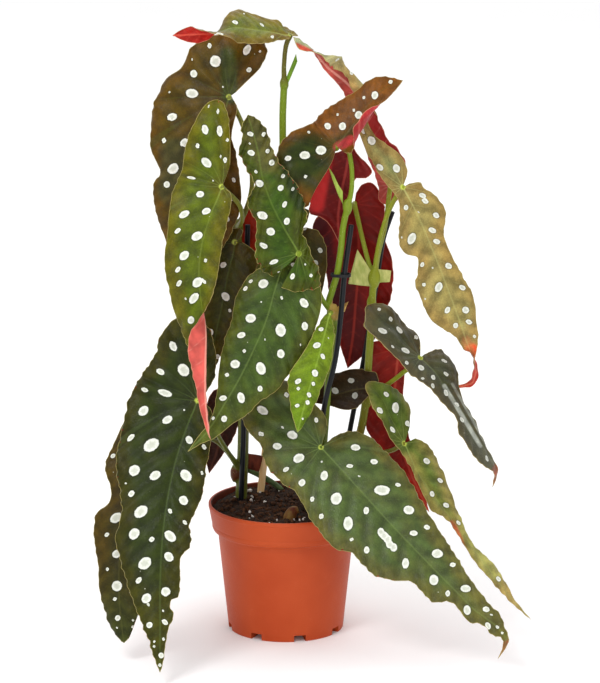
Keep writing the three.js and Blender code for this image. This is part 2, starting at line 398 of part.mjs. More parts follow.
// Rows from the midrib out to the edge of one side. The first goes from the stalk's joint to the edge's
// first point, more fan out round the joint, and the rest go forward along the midrib.
function sideRows(leaf, edge) {
  const points = [...edge, [leaf.length, 0]];
  const steps = points.map((_, k) => k);
  const line = [points[0]];
  for (let i = 0; i < points.length - 1; i++) {
    for (const w of [0.25, 0.5, 0.75, 1]) {
      line.push(smooth(points, steps, i, w));
    }
  }
  const crossing = (along) => {
    let i = line.length - 2;
    while (i > 0 && line[i][0] >= along) {
      i--;
    }
    const w = (along - line[i][0]) / (line[i + 1][0] - line[i][0]);
    return { i, point: [along, lerp(line[i][1], line[i + 1][1], w)] };
  };
  const start = 0.1 * leaf.length;
  const turn = crossing(start);
  const fan = [...line.slice(0, turn.i + 1), turn.point];
  const marks = [0];
  for (let i = 1; i < fan.length; i++) {
    marks.push(marks[i - 1] + Math.hypot(fan[i][0] - fan[i - 1][0], fan[i][1] - fan[i - 1][1]));
  }
  const total = marks[marks.length - 1];
  const fanRows = Math.max(1, Math.round(total / FAN_STEP));
  const rows = [[[0, 0], edge[0]]];
  for (let j = 1; j <= fanRows; j++) {
    const at = total * j / fanRows;
    let i = 0;
    while (i < marks.length - 2 && marks[i + 1] < at) {
      i++;
    }
    const w = (at - marks[i]) / (marks[i + 1] - marks[i]);
    rows.push([[0, 0], [lerp(fan[i][0], fan[i + 1][0], w), lerp(fan[i][1], fan[i + 1][1], w)]]);
  }
  const forward = Math.round(leaf.length / (leaf.fold ? FOLD_STEP : ROW_STEP));
  for (let j = 1; j < forward; j++) {
    const inner = leaf.length * j / forward;
    rows.push([[inner, 0], crossing(start + (leaf.length - start) * j / forward).point]);
  }
  rows.push([[leaf.length, 0], [leaf.length, 0]]);
  return rows;
}

// Closed body from oriented faces: the top face, its copy on the underside and a wall round the edge
function plate(tops, bottoms, faces) {
  const edges = new Set();
  for (const [a, b, c] of faces) {
    edges.add(`${a},${b}`).add(`${b},${c}`).add(`${c},${a}`);
  }
  const shift = tops.length;
  const index = [];
  for (const face of faces) {
    const [a, b, c] = face;
    index.push(a, b, c, c + shift, b + shift, a + shift);
    for (const [from, to] of [[a, b], [b, c], [c, a]]) {
      if (!edges.has(`${to},${from}`)) {
        index.push(to, from, from + shift, to, from + shift, to + shift);
      }
    }
  }
  return fromPoints([...tops, ...bottoms], index);
}

function fromPoints(points, index) {
  const geometry = new THREE.BufferGeometry();
  geometry.setAttribute("position", new THREE.Float32BufferAttribute(points.flatMap((p) => p.toArray()), 3));
  geometry.setIndex(index);
  geometry.computeVertexNormals();
  return geometry;
}

function leafBlade(leaf) {
  const tops = [];
  const bottoms = [];
  const known = new Map();
  const vertex = (along, across) => {
    const key = `${along.toFixed(3)},${across.toFixed(3)}`;
    if (!known.has(key)) {
      const { point, normal } = bladePoint(leaf, along, across);
      known.set(key, tops.length);
      tops.push(point.clone().addScaledVector(normal, BLADE / 2));
      bottoms.push(point.clone().addScaledVector(normal, -BLADE / 2));
    }
    return known.get(key);
  };
  const faces = [];
  [leaf.narrow, leaf.wide].forEach((edge, side) => {
    const grid = sideRows(leaf, edge).map(([inner, outer]) => {
      const row = [];
      for (let k = 0; k <= leaf.strips; k++) {
        const w = k / leaf.strips;
        row.push(vertex(lerp(inner[0], outer[0], w), lerp(inner[1], outer[1], w)));
      }
      return row;
    });
    const flip = (side === 1) !== (leaf.mirror === 1);
    for (let j = 0; j < grid.length - 1; j++) {
      for (let k = 0; k < leaf.strips; k++) {
        const quad = [grid[j][k], grid[j + 1][k], grid[j + 1][k + 1], grid[j][k + 1]];
        for (const [a, b, c] of [[quad[0], quad[1], quad[2]], [quad[0], quad[2], quad[3]]]) {
          if (a !== b && b !== c && c !== a) {
            faces.push(flip ? [a, c, b] : [a, b, c]);
          }
        }
      }
    }
  });
  return plate(tops, bottoms, faces);
}

// The end of a leaf stalk: it turns towards the underside and stops just short of it
function stalkEnd(leaf) {
  const { middle, normal } = ribFrame(leaf, 0);
  return [STALK_TURN, STALK_GAP].map((d) => middle.clone().addScaledVector(normal, -d).toArray());
}

// Round stem along a smooth line, with its radius spread evenly from a list
function stem(path, radii, sides, step) {
  const curve = new THREE.CatmullRomCurve3(path.map(V));
  const rings = Math.max(2, Math.ceil(curve.getLength() / step));
  const points = [];
  const index = [];
  let reference = new THREE.Vector3(1, 0, 0);
  for (let i = 0; i <= rings; i++) {
    const t = curve.getUtoTmapping(i / rings);
    const tangent = curve.getTangent(t);
    if (i === 0 && Math.abs(tangent.x) > 0.9) {
      reference = new THREE.Vector3(0, 1, 0);
    }
    reference = reference.clone().addScaledVector(tangent, -reference.dot(tangent)).normalize();
    const other = tangent.clone().cross(reference);
    const radius = spread(radii, i / rings);
    for (let k = 0; k < sides; k++) {
      const angle = 2 * Math.PI * k / sides;
      points.push(curve.getPoint(t).addScaledVector(reference, radius * Math.cos(angle))
        .addScaledVector(other, radius * Math.sin(angle)));
    }
  }
  for (let i = 0; i < rings; i++) {
    for (let k = 0; k < sides; k++) {
      const a = i * sides + k;
      const b = i * sides + (k + 1) % sides;
      index.push(a, b, b + sides, a, b + sides, a + sides);
    }
  }
  const end = rings * sides;
  for (let k = 1; k < sides - 1; k++) {
    index.push(0, k + 1, k, end, end + k, end + k + 1);
  }
  return fromPoints(points, index);
}

// A path that starts below the soil, straight under its foot
function planted(path) {
  const [x, y, z] = path[0];
  return [[x, y, z - STEM_DEPTH], ...path];
}

function solid(geometry) {
  const bare = new THREE.BufferGeometry();
  bare.setAttribute("position", geometry.getAttribute("position"));
  bare.setIndex(geometry.getIndex());
  const merged = mergeVertices(bare, 1e-4);
  return new wasm.Manifold(new wasm.Mesh({
    numProp: 3,
    vertProperties: Float32Array.from(merged.getAttribute("position").array),
    triVerts: Uint32Array.from(merged.getIndex().array),
  }));
}

function geometryOf(manifold) {
  const mesh = manifold.getMesh();
  const geometry = new THREE.BufferGeometry();
  geometry.setAttribute("position", new THREE.BufferAttribute(mesh.vertProperties, 3));
  geometry.setIndex(new THREE.BufferAttribute(mesh.triVerts, 1));
  geometry.computeVertexNormals();
  return geometry;
}

// Thin flap with the given corners, in order round its outline
function sheath(corners) {
  const points = corners.map(V);
  const normal = points[1].clone().sub(points[0]).cross(points[2].clone().sub(points[0])).normalize();
  const faces = [[0, 1, 2], [0, 2, 3]];
  const tops = points.map((p) => p.clone().addScaledVector(normal, BLADE / 2));
  return plate(tops, points.map((p) => p.clone().addScaledVector(normal, -BLADE / 2)), faces);
}

function knuckle([x, y, z, radius]) {
  const path = [[x, y, z - 1.4 * radius], [x, y, z], [x, y, z + 1.4 * radius]];
  return stem(path, [0.5 * radius, radius, 0.5 * radius], CANE_SIDES, 1.4 * radius);
}

function cane(plan) {
  const leafOf = (name) => LEAVES.find((leaf) => leaf.name === name);
  let whole = solid(stem(planted(plan.path), plan.radius, CANE_SIDES, CANE_STEP));
  for (const stalk of plan.stalks) {
    const path = [...stalk.path, ...stalkEnd(leafOf(stalk.leaf))];
    whole = whole.add(solid(stem(path, STALK_RADIUS, STALK_SIDES, STALK_STEP)));
  }
  for (const swelling of plan.knuckles) {
    whole = whole.add(solid(knuckle(swelling)));
  }
  for (const corners of plan.sheaths) {
    whole = whole.add(solid(sheath(corners)));
  }
  return geometryOf(whole);
}

// Pot: a turned shell with a stepped rim band, drain holes and notches round its foot
const INNER = [[57.6, 99], [55.8, 80], [50.6, 78], [43, WALL_FOOT]];
function pot() {
  const outer = [[0, 0], [BASE_RADIUS - 0.6, 0], [BASE_RADIUS, 0.6], [52.8, 78], [56, STEP_HEIGHT],
    [57, STEP_HEIGHT + 0.8], [RIM_RADIUS, POT_HEIGHT - 1.5], [RIM_RADIUS - 0.5, POT_HEIGHT],
    [RIM_RADIUS - 1.6, POT_HEIGHT]];
  const profile = [...outer, ...INNER, [0, WALL_FOOT]].map(([r, z]) => new THREE.Vector2(r, z));
  const shell = new THREE.LatheGeometry(profile, POT_SIDES);
  shell.rotateX(Math.PI / 2);
  let body = solid(shell);
  for (let i = 0; i < NOTCH.count; i++) {
    const angle = 2 * Math.PI * i / NOTCH.count - Math.PI / 2 + NOTCH.turn;
    const cut = new THREE.BoxGeometry(2 * NOTCH.depth, NOTCH.width, 2 * NOTCH.height);
    cut.translate(BASE_RADIUS, 0, 0);
    cut.rotateZ(angle);
    body = body.subtract(solid(cut));
  }
  for (let i = 0; i < DRAIN.count; i++) {
    const angle = 2 * Math.PI * (i + 0.5) / DRAIN.count;
    const hole = new THREE.CylinderGeometry(DRAIN.radius, DRAIN.radius, 3 * WALL_FOOT, DRAIN.sides);
    hole.rotateX(Math.PI / 2);
    hole.translate(DRAIN.ring * Math.cos(angle), DRAIN.ring * Math.sin(angle), 0);
    body = body.subtract(solid(hole));
  }
  return geometryOf(body);
}

// Soil: fills the pot below its rim, with a lumpy top that rises to the back, and a hole for each stem, stake and stick
function soil() {
  const inner = (z) => {
    const i = INNER.findIndex((q) => q[1] <= z);
    const [r0, z0] = INNER[i - 1];
    const [r1, z1] = INNER[i];
    return lerp(r0, r1, (z - z0) / (z1 - z0)) - 2 * GAP;
  };
  const edge = inner(SOIL_TOP);
  const top = [0, 0.25, 0.5, 0.72, 0.9].map((share) => [share * edge, SOIL_TOP]);
  const [, ledge, neck, foot] = INNER.map(([r, z]) => [r - 2 * GAP, z + 1.5 * GAP]);
  const side = [[edge, SOIL_TOP], ledge, neck, [foot[0], WALL_FOOT + GAP], [0, WALL_FOOT + GAP]];
  const profile = [...top, ...side].reverse().map(([r, z]) => new THREE.Vector2(r, z));
  const lump = new THREE.LatheGeometry(profile, SOIL_SIDES);
  lump.rotateX(Math.PI / 2);
  const position = lump.getAttribute("position");
  for (let i = 0; i < position.count; i++) {
    const x = position.getX(i);
    const y = position.getY(i);
    if (position.getZ(i) > SOIL_TOP - 1) {
      const bump = Math.sin(0.21 * x + 1) * Math.cos(0.17 * y) + 0.6 * Math.sin(0.4 * x - 0.5 * y);
      position.setZ(i, SOIL_TOP + SOIL_SLOPE * (y + edge) + SOIL_BUMP * bump);
    }
  }
  let body = solid(lump);
  for (const plan of CANES) {
    body = body.subtract(solid(hole(plan.path, plan.radius[0], CANE_SIDES)));
  }
  for (const plan of STAKES) {
    body = body.subtract(solid(hole(plan.path, STAKE_RADIUS, STALK_SIDES)));
  }
  return geometryOf(body.subtract(solid(stick(2 * GAP))));
}

function hole(path, radius, sides) {
  const [x, y, z] = path[0];
  const below = [x, y, z - STEM_DEPTH - GAP];
  return stem([below, [x, y, z], lift(path[0], path[1])], [radius + 2 * GAP], sides, 13);
}

// Point part of the way from the soil towards the next point of a path
function lift(from, to) {
  return from.map((value, k) => lerp(value, to[k], 0.35));
}

function stick(grow) {
  const box = new THREE.BoxGeometry(STICK.width + grow, STICK.thick + grow, STICK.length + grow);
  box.translate(0, 0, STICK.length / 2 - STEM_DEPTH);
  box.rotateY(STICK_AT.lean);
  box.translate(STICK_AT.foot[0], STICK_AT.foot[1], SOIL_TOP);
  return box;
}

// Tie: a flat loop round a cane and its stake
function tie() {
  const from = new THREE.Vector2(...TIE_AT.cane);
  const to = new THREE.Vector2(...TIE_AT.stake);
  const turn = Math.atan2(to.y - from.y, to.x - from.x);
  const loop = (Shape, radius) => {
    const path = new Shape();
    path.absarc(from.x, from.y, radius, turn + Math.PI / 2, turn + 1.5 * Math.PI, false);
    path.absarc(to.x, to.y, radius, turn - Math.PI / 2, turn + Math.PI / 2, false);
    path.closePath();
    return path;
  };
  const shape = loop(THREE.Shape, TIE.reach + TIE.wall);
  shape.holes.push(loop(THREE.Path, TIE.reach));
  const ring = new THREE.ExtrudeGeometry(shape, { depth: TIE.height, bevelEnabled: false, curveSegments: 6 });
  ring.translate(0, 0, TIE_AT.height - TIE.height / 2);
  return geometryOf(solid(ring.index ? ring : mergeVertices(plain(ring), 1e-4)));
}

function plain(geometry) {
  geometry.deleteAttribute("normal");
  geometry.deleteAttribute("uv");
  return geometry;
}

const plant = new THREE.Group();

function addPiece(name, geometry, colour, roughness) {
  const material = new THREE.MeshStandardMaterial({ color: colour, roughness, metalness: 0 });
  const mesh = new THREE.Mesh(geometry, material);
  mesh.name = name;
  plant.add(mesh);
}

LEAVES.forEach((leaf, i) => {
  leaf.seed = i + 1;
  measure(leaf);
});
addPiece("pot", pot(), COLOURS.pot, 0.55);
addPiece("soil", soil(), COLOURS.soil, 1);
for (const leaf of LEAVES) {
  addPiece(leaf.name, leafBlade(leaf), COLOURS[leaf.tone], 0.4);
}
for (const plan of CANES) {
  addPiece(plan.name, cane(plan), COLOURS.cane, 0.5);
}
for (const plan of STAKES) {
  addPiece(plan.name, stem(planted(plan.path), [STAKE_RADIUS], STALK_SIDES, 22), COLOURS.stake, 0.6);
}
addPiece("tie_centre", tie(), COLOURS.tie, 0.6);
addPiece("label_stick", stick(0), COLOURS.stick, 0.8);

export default plant;
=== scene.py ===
# Potted polka dot begonia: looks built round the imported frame. Table sizes are in millimetres.
import math

import bmesh
import bpy
import numpy as np
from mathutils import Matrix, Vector


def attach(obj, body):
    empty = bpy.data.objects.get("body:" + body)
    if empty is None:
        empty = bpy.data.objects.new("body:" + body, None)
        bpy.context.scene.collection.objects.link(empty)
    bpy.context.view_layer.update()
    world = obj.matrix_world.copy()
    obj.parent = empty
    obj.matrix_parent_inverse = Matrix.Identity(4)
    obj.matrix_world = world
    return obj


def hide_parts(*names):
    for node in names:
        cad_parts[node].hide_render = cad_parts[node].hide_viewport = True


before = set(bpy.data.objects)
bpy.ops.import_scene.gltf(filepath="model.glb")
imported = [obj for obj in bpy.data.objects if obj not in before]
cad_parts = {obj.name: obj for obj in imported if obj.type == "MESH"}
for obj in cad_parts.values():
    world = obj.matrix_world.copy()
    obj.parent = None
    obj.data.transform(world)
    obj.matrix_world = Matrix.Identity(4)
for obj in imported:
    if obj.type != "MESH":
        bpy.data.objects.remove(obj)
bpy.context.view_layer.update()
MM = 0.001

# Camera that matches the photo's viewing angle: place, downward pitch in degrees, lens and film size
CAMERA_AT = (11, -3500, 1133.5)
CAMERA_PITCH = 14.5
LENS = 247.8
FILM = 36
PHOTO = (600, 683)

LEAVES = []


def leaf(name, tone, half, **own):
    """Note a leaf: its name, tone and half widths, and what of it is unlike most leaves."""
    common = {"mirror": 0, "wave": 2, "cup": [0.1], "bend": [[0.35], [0.35]], "fold": None, "sheen": 0.14,
        "quilt": 0.9, "stretch": 1.6, "ruffle": 0, "dull": 0, "joint": True, "red_side": False,
        "spots": [], "strokes": []}
    LEAVES.append(common | own | {"name": name, "tone": tone, "half": half})


# Forms of each leaf: the way its upper side faces, the spine that its midrib follows, and the edge lines of
# its narrow and wide side as mm along and across the midrib. Looks: colours of heart, rim, veins, tip,
# underside and its veins; spots as photo pixel and radius in mm; marks of another colour, of painted shade
# and of painted highlight as two photo pixels, colour, strength and reach in pixels
leaf("leaf_top_left", "green", [20, 26], wave=1, bend=[[0.4], [0.4]], sheen=0.25, quilt=1.4,
    face=[[0.1, -0.6, 0.8]] * 3 +
    [[0, -0.6, 0.8], [0, -0.55, 0.8], [-0.1, 0.2, 1], [-0.1, 0.8, 0.5], [-0.1, 0.9, 0.35]],
    spine=[[9, 8, 469], [4, 0, 468], [-12, -8, 472], [-25, -14, 475], [-39, -18, 477], [-52, -20, 474],
    [-68, -17, 472], [-85, -12, 470]],
    narrow=[[3, 4], [9, 6], [23, 12], [36, 15], [47, 15], [63, 11], [70, 12], [79, 10], [88, 6]],
    wide=[[-4, 4], [-7, 1], [-7, -8], [0, -15], [15, -14], [25, -17], [37, -22], [45, -20], [53, -14],
    [62, -9], [69, -10], [79, -9], [88, -5]],
    looks=[(104, 116, 32), (126, 104, 26), (170, 180, 96), (114, 90, 30), (204, 42, 30), (220, 90, 70)],
    spots=[(236, 22, 2.2), (243, 14, 0.8), (262, 25, 1.8), (272, 37, 1.6), (221, 35, 2.4)])
leaf("leaf_top_red", "red", [26, 16], wave=0.6, cup=[0], bend=[[0.05], [0.3]],
    fold=dict(radius=2, turn=[0] * 3 + [0.2, 1.8, 2.9, 2.9, 0.4, 0],
    at=[8] * 10 + [7.5, 7.5, 12.5, 12] + [5] * 3), red_side=True,
    face=[[0.1, 0.95, 0.2]] * 7 + [[0.2, -0.2, 0.9], [0.2, -0.8, 0.6]],
    spine=[[86, 20, 332], [81, 18, 348], [72, 17, 368], [65, 19, 387], [59, 20, 404], [52, 18, 421],
    [31, 11, 442], [19, 1, 458], [6, -8, 468]],
    narrow=[[5, 10], [9, 16], [14, 18], [20, 17], [27, 16], [33, 12], [45, 11], [55, 12], [64, 15],
    [71, 18], [78, 20], [85, 20], [92, 16], [98, 18], [104, 23], [110, 26], [116, 25], [122, 19], [127, 10],
    [133, 7], [140, 9], [145, 7]],
    wide=[[-5, 6], [-10, 5], [-14, 0], [-15, -8], [-9, -13], [2, -10], [20, -8], [47, -8], [62, -9],
    [78, -8], [95, -5], [110, -3], [120, -2], [133, -2], [144, -2]],
    looks=[(176, 176, 118), (180, 152, 90), (204, 208, 150), (164, 172, 128), (206, 96, 86),
    (236, 168, 152)],
    strokes=[(296, 46, 311, 53, (196, 54, 40), 0.9, 3.5), (374, 112, 398, 150, (150, 40, 42), 0.85, 14)])
leaf("leaf_left_high", "bronze", [30, 38], quilt=1.3, face=[[-0.15, -0.95, 0.3]],
    spine=[[-32, 12, 452], [-43, 0, 420], [-49, -8, 400], [-55, -13, 375], [-60, -16, 350], [-66, -17, 322],
    [-71, -16, 290], [-75, -14, 265]],
    narrow=[[2, 5], [8, 9], [28, 10], [44, 18], [62, 24], [79, 28], [93, 27], [110, 23], [147, 8]],
    wide=[[-5, 4], [-24, 14], [-39, 18], [-49, 11], [-49, -7], [-41, -28], [-28, -41], [-12, -44],
    [-1, -54], [12, -57], [30, -57], [50, -52], [66, -40], [81, -44], [98, -38], [113, -29], [146, -8]],
    looks=[(76, 60, 8), (86, 60, 6), (88, 104, 36), (86, 66, 10), (110, 30, 22), (150, 70, 50)],
    spots=[(215, 61, 4.5), (193, 60, 0.8), (194, 75, 2.9), (192, 94, 4), (169, 92, 0.8), (173, 117, 3.5),
    (163, 141, 2.2), (186, 143, 3.4), (174, 168, 4.3), (166, 185, 2.9), (247, 50, 3.7), (261, 51, 1),
    (250, 69, 2), (209, 47, 2), (223, 87, 0.8)],
    strokes=[(228, 55, 230, 96, (52, 66, 26), 0.8, 9), (175, 150, 170, 190, (64, 66, 36), 0.7, 14)])
leaf("leaf_left_front", "green", [26, 30], cup=[0.1, 0.1, 0.1, 0.1, 0.1, 0.35, 1, 1.2, 1.2, 1],
    bend=[[0.3, 0.3, 0.1, 0.2], [0.3, 0.3, 0.2, 0.2]], stretch=1.9,
    face=[[-0.1, -0.92, 0.35]] * 5 +
    [[-0.6, -0.75, 0.2], [-1, 0, 0.1], [-1, 0.1, 0], [-1, 0.1, 0], [-1, 0, 0]],
    spine=[[-52, -30, 414], [-48, -48, 361], [-57, -56, 339], [-63, -62, 318], [-65, -66, 295],
    [-63, -70, 276], [-60, -76, 257], [-60, -82, 235], [-60, -88, 206], [-57, -93, 176]],
    narrow=[[1, 4], [4, 9], [17, 13], [39, 15], [62, 15], [92, 11], [104, 12], [114, 15], [126, 15],
    [137, 12], [152, 8], [178, 4]],
    wide=[[-17, 5], [-48, 9], [-63, 6], [-66, -2], [-61, -10], [-50, -18], [-33, -28], [9, -35], [25, -32],
    [44, -28], [61, -27], [77, -24], [108, -24], [118, -19], [140, -10], [155, -7], [184, -3]],
    looks=[(80, 93, 8), (92, 88, 8), (132, 148, 60), (104, 104, 26), (224, 108, 98), (240, 176, 156)],
    spots=[(209, 108, 0.9), (218, 112, 1.6), (206, 130, 3.1), (220, 132, 3.1), (227, 140, 1.4),
    (197, 146, 1.9), (206, 162, 3.9), (225, 160, 1.9), (220, 155, 0.8), (192, 178, 2.7), (214, 181, 0.8),
    (201, 194, 2.9), (184, 213, 3.2), (207, 211, 2.9), (178, 232, 2.1), (197, 235, 3.7), (185, 255, 3.4),
    (206, 260, 1.5), (178, 270, 2), (178, 283, 2.1), (197, 282, 3.8), (204, 282, 1.8), (185, 298, 0.8),
    (194, 299, 3.8), (191, 319, 2.9)])
leaf("leaf_centre_crinkled", "green", [24, 27], wave=3, sheen=0.16, quilt=1.6, ruffle=1.8,
    face=[[0, -0.9, 0.4]],
    spine=[[17, -60, 288], [10, -56, 311], [-1, -56, 331], [-10, -56, 349], [-17, -55, 369],
    [-21, -51, 391], [-28, -52, 417]],
    narrow=[[-12, 24], [-4, 30], [8, 31], [19, 28], [36, 17], [52, 17], [59, 8], [69, 9], [82, 14],
    [88, 14], [100, 9], [108, 6]],
    wide=[[-21, 20], [-26, 12], [-29, 1], [-27, -9], [-16, -11], [-4, -9], [12, -11], [22, -20], [38, -24],
    [56, -22], [75, -15], [83, -11], [96, -11], [108, -7]],
    looks=[(54, 80, 8), (70, 78, 12), (120, 144, 60), None, (150, 36, 28), (180, 80, 66)],
    spots=[(250, 133, 2.2), (264, 135, 1.7), (250, 144, 0.9), (251, 153, 2.6), (268, 152, 1.8),
    (271, 162, 2.3), (256, 171, 1.4), (260, 184, 2.9), (282, 176, 1.8), (281, 188, 2.4), (293, 189, 1.8),
    (284, 204, 2.3), (262, 216, 3.4), (271, 231, 3.2), (287, 222, 2.6), (264, 245, 2.6), (274, 262, 2.9),
    (279, 273, 1.2), (293, 276, 2.1), (311, 276, 1.4), (305, 264, 0.8)],
    # The second stroke is painted shadow of a folded lobe on the blade.
    strokes=[(248, 122, 268, 160, (96, 88, 42), 0.7, 14), (288, 166, 302, 204, (34, 52, 16), 0.8, 9)])
leaf("leaf_centre_dark", "dark", [20, 15], dull=0.3, face=[[0.1, -0.97, 0.2]],
    spine=[[9, -14, 343], [11, -18, 322], [14, -21, 304], [16, -23, 283], [17, -24, 259], [15, -24, 232]],
    narrow=[[0, 5], [5, 14], [15, 17], [29, 17], [45, 13], [60, 8], [75, 3]],
    wide=[[-4, 6], [-13, 8], [-18, -2], [-14, -11], [-3, -14], [27, -15], [46, -12], [64, -8], [82, -3]],
    looks=[(58, 58, 8), (70, 56, 8), (84, 100, 40), None, (90, 24, 20), (130, 60, 46)],
    spots=[(304, 228, 2), (320, 251, 2), (315, 264, 2.3), (318, 285, 1.6)])
leaf("leaf_top_arched", "bronze", [24, 32], mirror=1, wave=1.5,
    bend=[[0.2, -0.9, -2, -1.9, -0.8, 0.2], [0.5]], stretch=1.3, joint=False, face=[[-0.3, -0.9, 0.35]],
    spine=[[3, -33, 378], [38, -26, 388], [49, -22, 400], [61, -16, 416], [75, -11, 429], [89, -6, 434]],
    narrow=[[1, 10], [3, 18], [8, 24], [16, 27], [28, 25], [40, 18], [50, 13], [62, 7]],
    wide=[[-32, 38], [-44, 37], [-45, 21], [-46, 2], [-44, -9], [-34, -19], [-24, -23], [14, -28],
    [30, -21], [41, -15], [52, -14], [62, -9]],
    looks=[(62, 54, 2), (106, 64, 4), (96, 84, 24), (136, 90, 26), (196, 58, 62), (226, 130, 112)],
    spots=[(320, 150, 3.9), (304, 156, 3.5), (288, 158, 2.4), (328, 126, 3), (343, 126, 3), (309, 132, 1.4),
    (338, 114, 1.3), (306, 176, 1.5), (375, 95, 2.9), (365, 97, 1.3), (358, 116, 3), (353, 111, 1.2),
    (390, 82, 1.7), (379, 104, 1.2)],
    strokes=[(330, 122, 388, 86, (126, 74, 18), 0.9, 17), (274, 172, 306, 158, (40, 52, 8), 0.95, 24),
    (338, 147, 351, 140, (190, 56, 58), 0.95, 5)])
leaf("leaf_red_flap", "red", [24, 20], red_side=True, face=[[0.1, 0.97, -0.1]],
    spine=[[51, -14, 391], [49, -14, 383], [46, -13, 366], [42, -11, 346], [40, -8, 326], [42, -4, 305]],
    narrow=[[3, 6], [8, 14], [15, 21], [25, 23], [35, 22], [47, 23], [54, 22], [56, 14], [63, 6]],
    wide=[[-1, -3], [6, -10], [11, -18], [15, -20], [20, -16], [24, -8], [53, -7], [68, -5]],
    looks=[(80, 86, 40), (110, 90, 40), (120, 130, 60), None, (114, 16, 14), (164, 58, 50)],
    strokes=[(324, 158, 316, 204, (196, 46, 46), 0.9, 9)])
leaf("leaf_red_back", "red", [28, 26], red_side=True, face=[[0, 1, -0.1]],
    spine=[[53, 32, 342], [53, 32, 330], [56, 31, 305], [56, 31, 277], [54, 31, 250], [52, 32, 224],
    [48, 34, 198]],
    narrow=[[-2, 8], [-1, 17], [5, 28], [13, 35], [29, 33], [47, 27], [70, 22], [90, 15], [107, 12],
    [121, 6]],
    wide=[[-8, -1], [-15, -6], [-16, -14], [-6, -21], [9, -23], [26, -20], [43, -26], [63, -28], [82, -25],
    [102, -19], [120, -10]],
    looks=[(70, 76, 36), (100, 80, 40), (110, 120, 60), None, (138, 22, 12), (176, 54, 40)],
    # The second stroke is painted shade, a dark maroon band across the blade.
    strokes=[(342, 296, 366, 356, (84, 26, 28), 0.8, 20), (316, 222, 330, 300, (60, 16, 24), 0.85, 15)])
leaf("leaf_right_high", "bronze", [24, 26], dull=0.1,
    face=[[0.1, -0.9, 0.4]] * 6 + [[-0.2, -0.6, 0.5], [-0.9, 0.1, 0.2], [-0.4, 0.8, 0.3], [0, 0.9, 0.3]],
    spine=[[60, -4, 403], [89, -18, 354], [100, -24, 334], [111, -29, 309], [121, -33, 284],
    [130, -35, 260], [138, -36, 237], [144, -33, 219], [142, -27, 203], [128, -22, 198]],
    narrow=[[0, 6], [3, 14], [8, 14], [18, 20], [32, 21], [45, 13], [59, 12], [76, 14], [98, 17], [113, 13],
    [126, 10], [136, 7], [162, 4]],
    wide=[[-6, 7], [-11, 10], [-23, 10], [-44, 1], [-59, 1], [-54, -8], [-28, -11], [-12, -11], [7, -8],
    [25, -16], [38, -22], [48, -20], [54, -13], [66, -18], [74, -22], [100, -21], [114, -13], [125, -6],
    [162, -4]],
    looks=[(134, 144, 88), (146, 124, 68), (190, 190, 120), (152, 116, 64), (188, 52, 34), (214, 110, 80)],
    spots=[(411, 239, 3.8), (397, 168, 3), (363, 131, 2), (373, 141, 3.4), (380, 168, 2.6), (406, 208, 2),
    (423, 196, 2.4), (426, 201, 2.2), (419, 212, 0.8), (436, 215, 2.4), (433, 230, 2.6), (436, 242, 2.4),
    (402, 238, 0.8), (444, 229, 0.9), (449, 266, 2.6), (423, 265, 1.7), (432, 267, 0.8), (439, 288, 3.4),
    (462, 288, 2.4), (423, 284, 1.5), (426, 299, 0.8), (447, 310, 2.4), (465, 311, 2.7), (469, 321, 2.2),
    (456, 326, 2.1), (474, 337, 1.4)],
    strokes=[(424, 196, 448, 306, (158, 130, 68), 0.6, 22), (472, 350, 477, 386, (196, 60, 30), 0.95, 7),
    (466, 340, 474, 362, (190, 120, 70), 0.6, 5)])
leaf("leaf_right_dark", "dark", [24, 24], bend=[[0.2], [0.2]], sheen=0.35, quilt=1.3, dull=0.25,
    face=[[0.45, -0.6, 0.65], [0.5, -0.55, 0.65], [0.62, -0.4, 0.65], [0.66, -0.36, 0.65],
    [0.66, -0.36, 0.65]],
    spine=[[66, -20, 259], [103, -28, 223], [115, -34, 212], [125, -40, 197], [136, -46, 183],
    [145, -51, 169], [154, -56, 155], [161, -59, 142], [158, -60, 129]],
    narrow=[[0, 6], [3, 19], [8, 24], [23, 22], [34, 15], [47, 9], [57, 9], [70, 7], [84, 4], [107, 2]],
    wide=[[-5, 6], [-11, 13], [-24, 16], [-48, 11], [-57, 1], [-52, -10], [-41, -18], [-6, -19], [16, -19],
    [33, -14], [45, -12], [56, -12], [65, -18], [81, -20], [97, -12], [108, -3]],
    looks=[(60, 64, 32), (70, 62, 30), (106, 118, 74), (92, 92, 70), (120, 40, 36), (150, 80, 66)],
    spots=[(379, 310, 1.4), (391, 319, 1.8), (383, 331, 3.1), (399, 330, 2.7), (416, 337, 1.7),
    (393, 347, 1.6), (405, 351, 3.1), (407, 363, 1.9), (420, 368, 2.7), (444, 361, 2), (446, 374, 2.1),
    (434, 378, 2.3), (423, 379, 1.4), (433, 386, 2.2), (446, 393, 2.8), (456, 404, 2.2), (462, 420, 2.4)],
    # The first two strokes are painted highlights: pale grey streaks of sheen on the lower blade.
    strokes=[(444, 386, 480, 446, (184, 188, 176), 0.75, 2.2),
    (452, 384, 488, 448, (160, 164, 150), 0.6, 1.5), (492, 488, 499, 468, (150, 70, 44), 0.9, 6)])
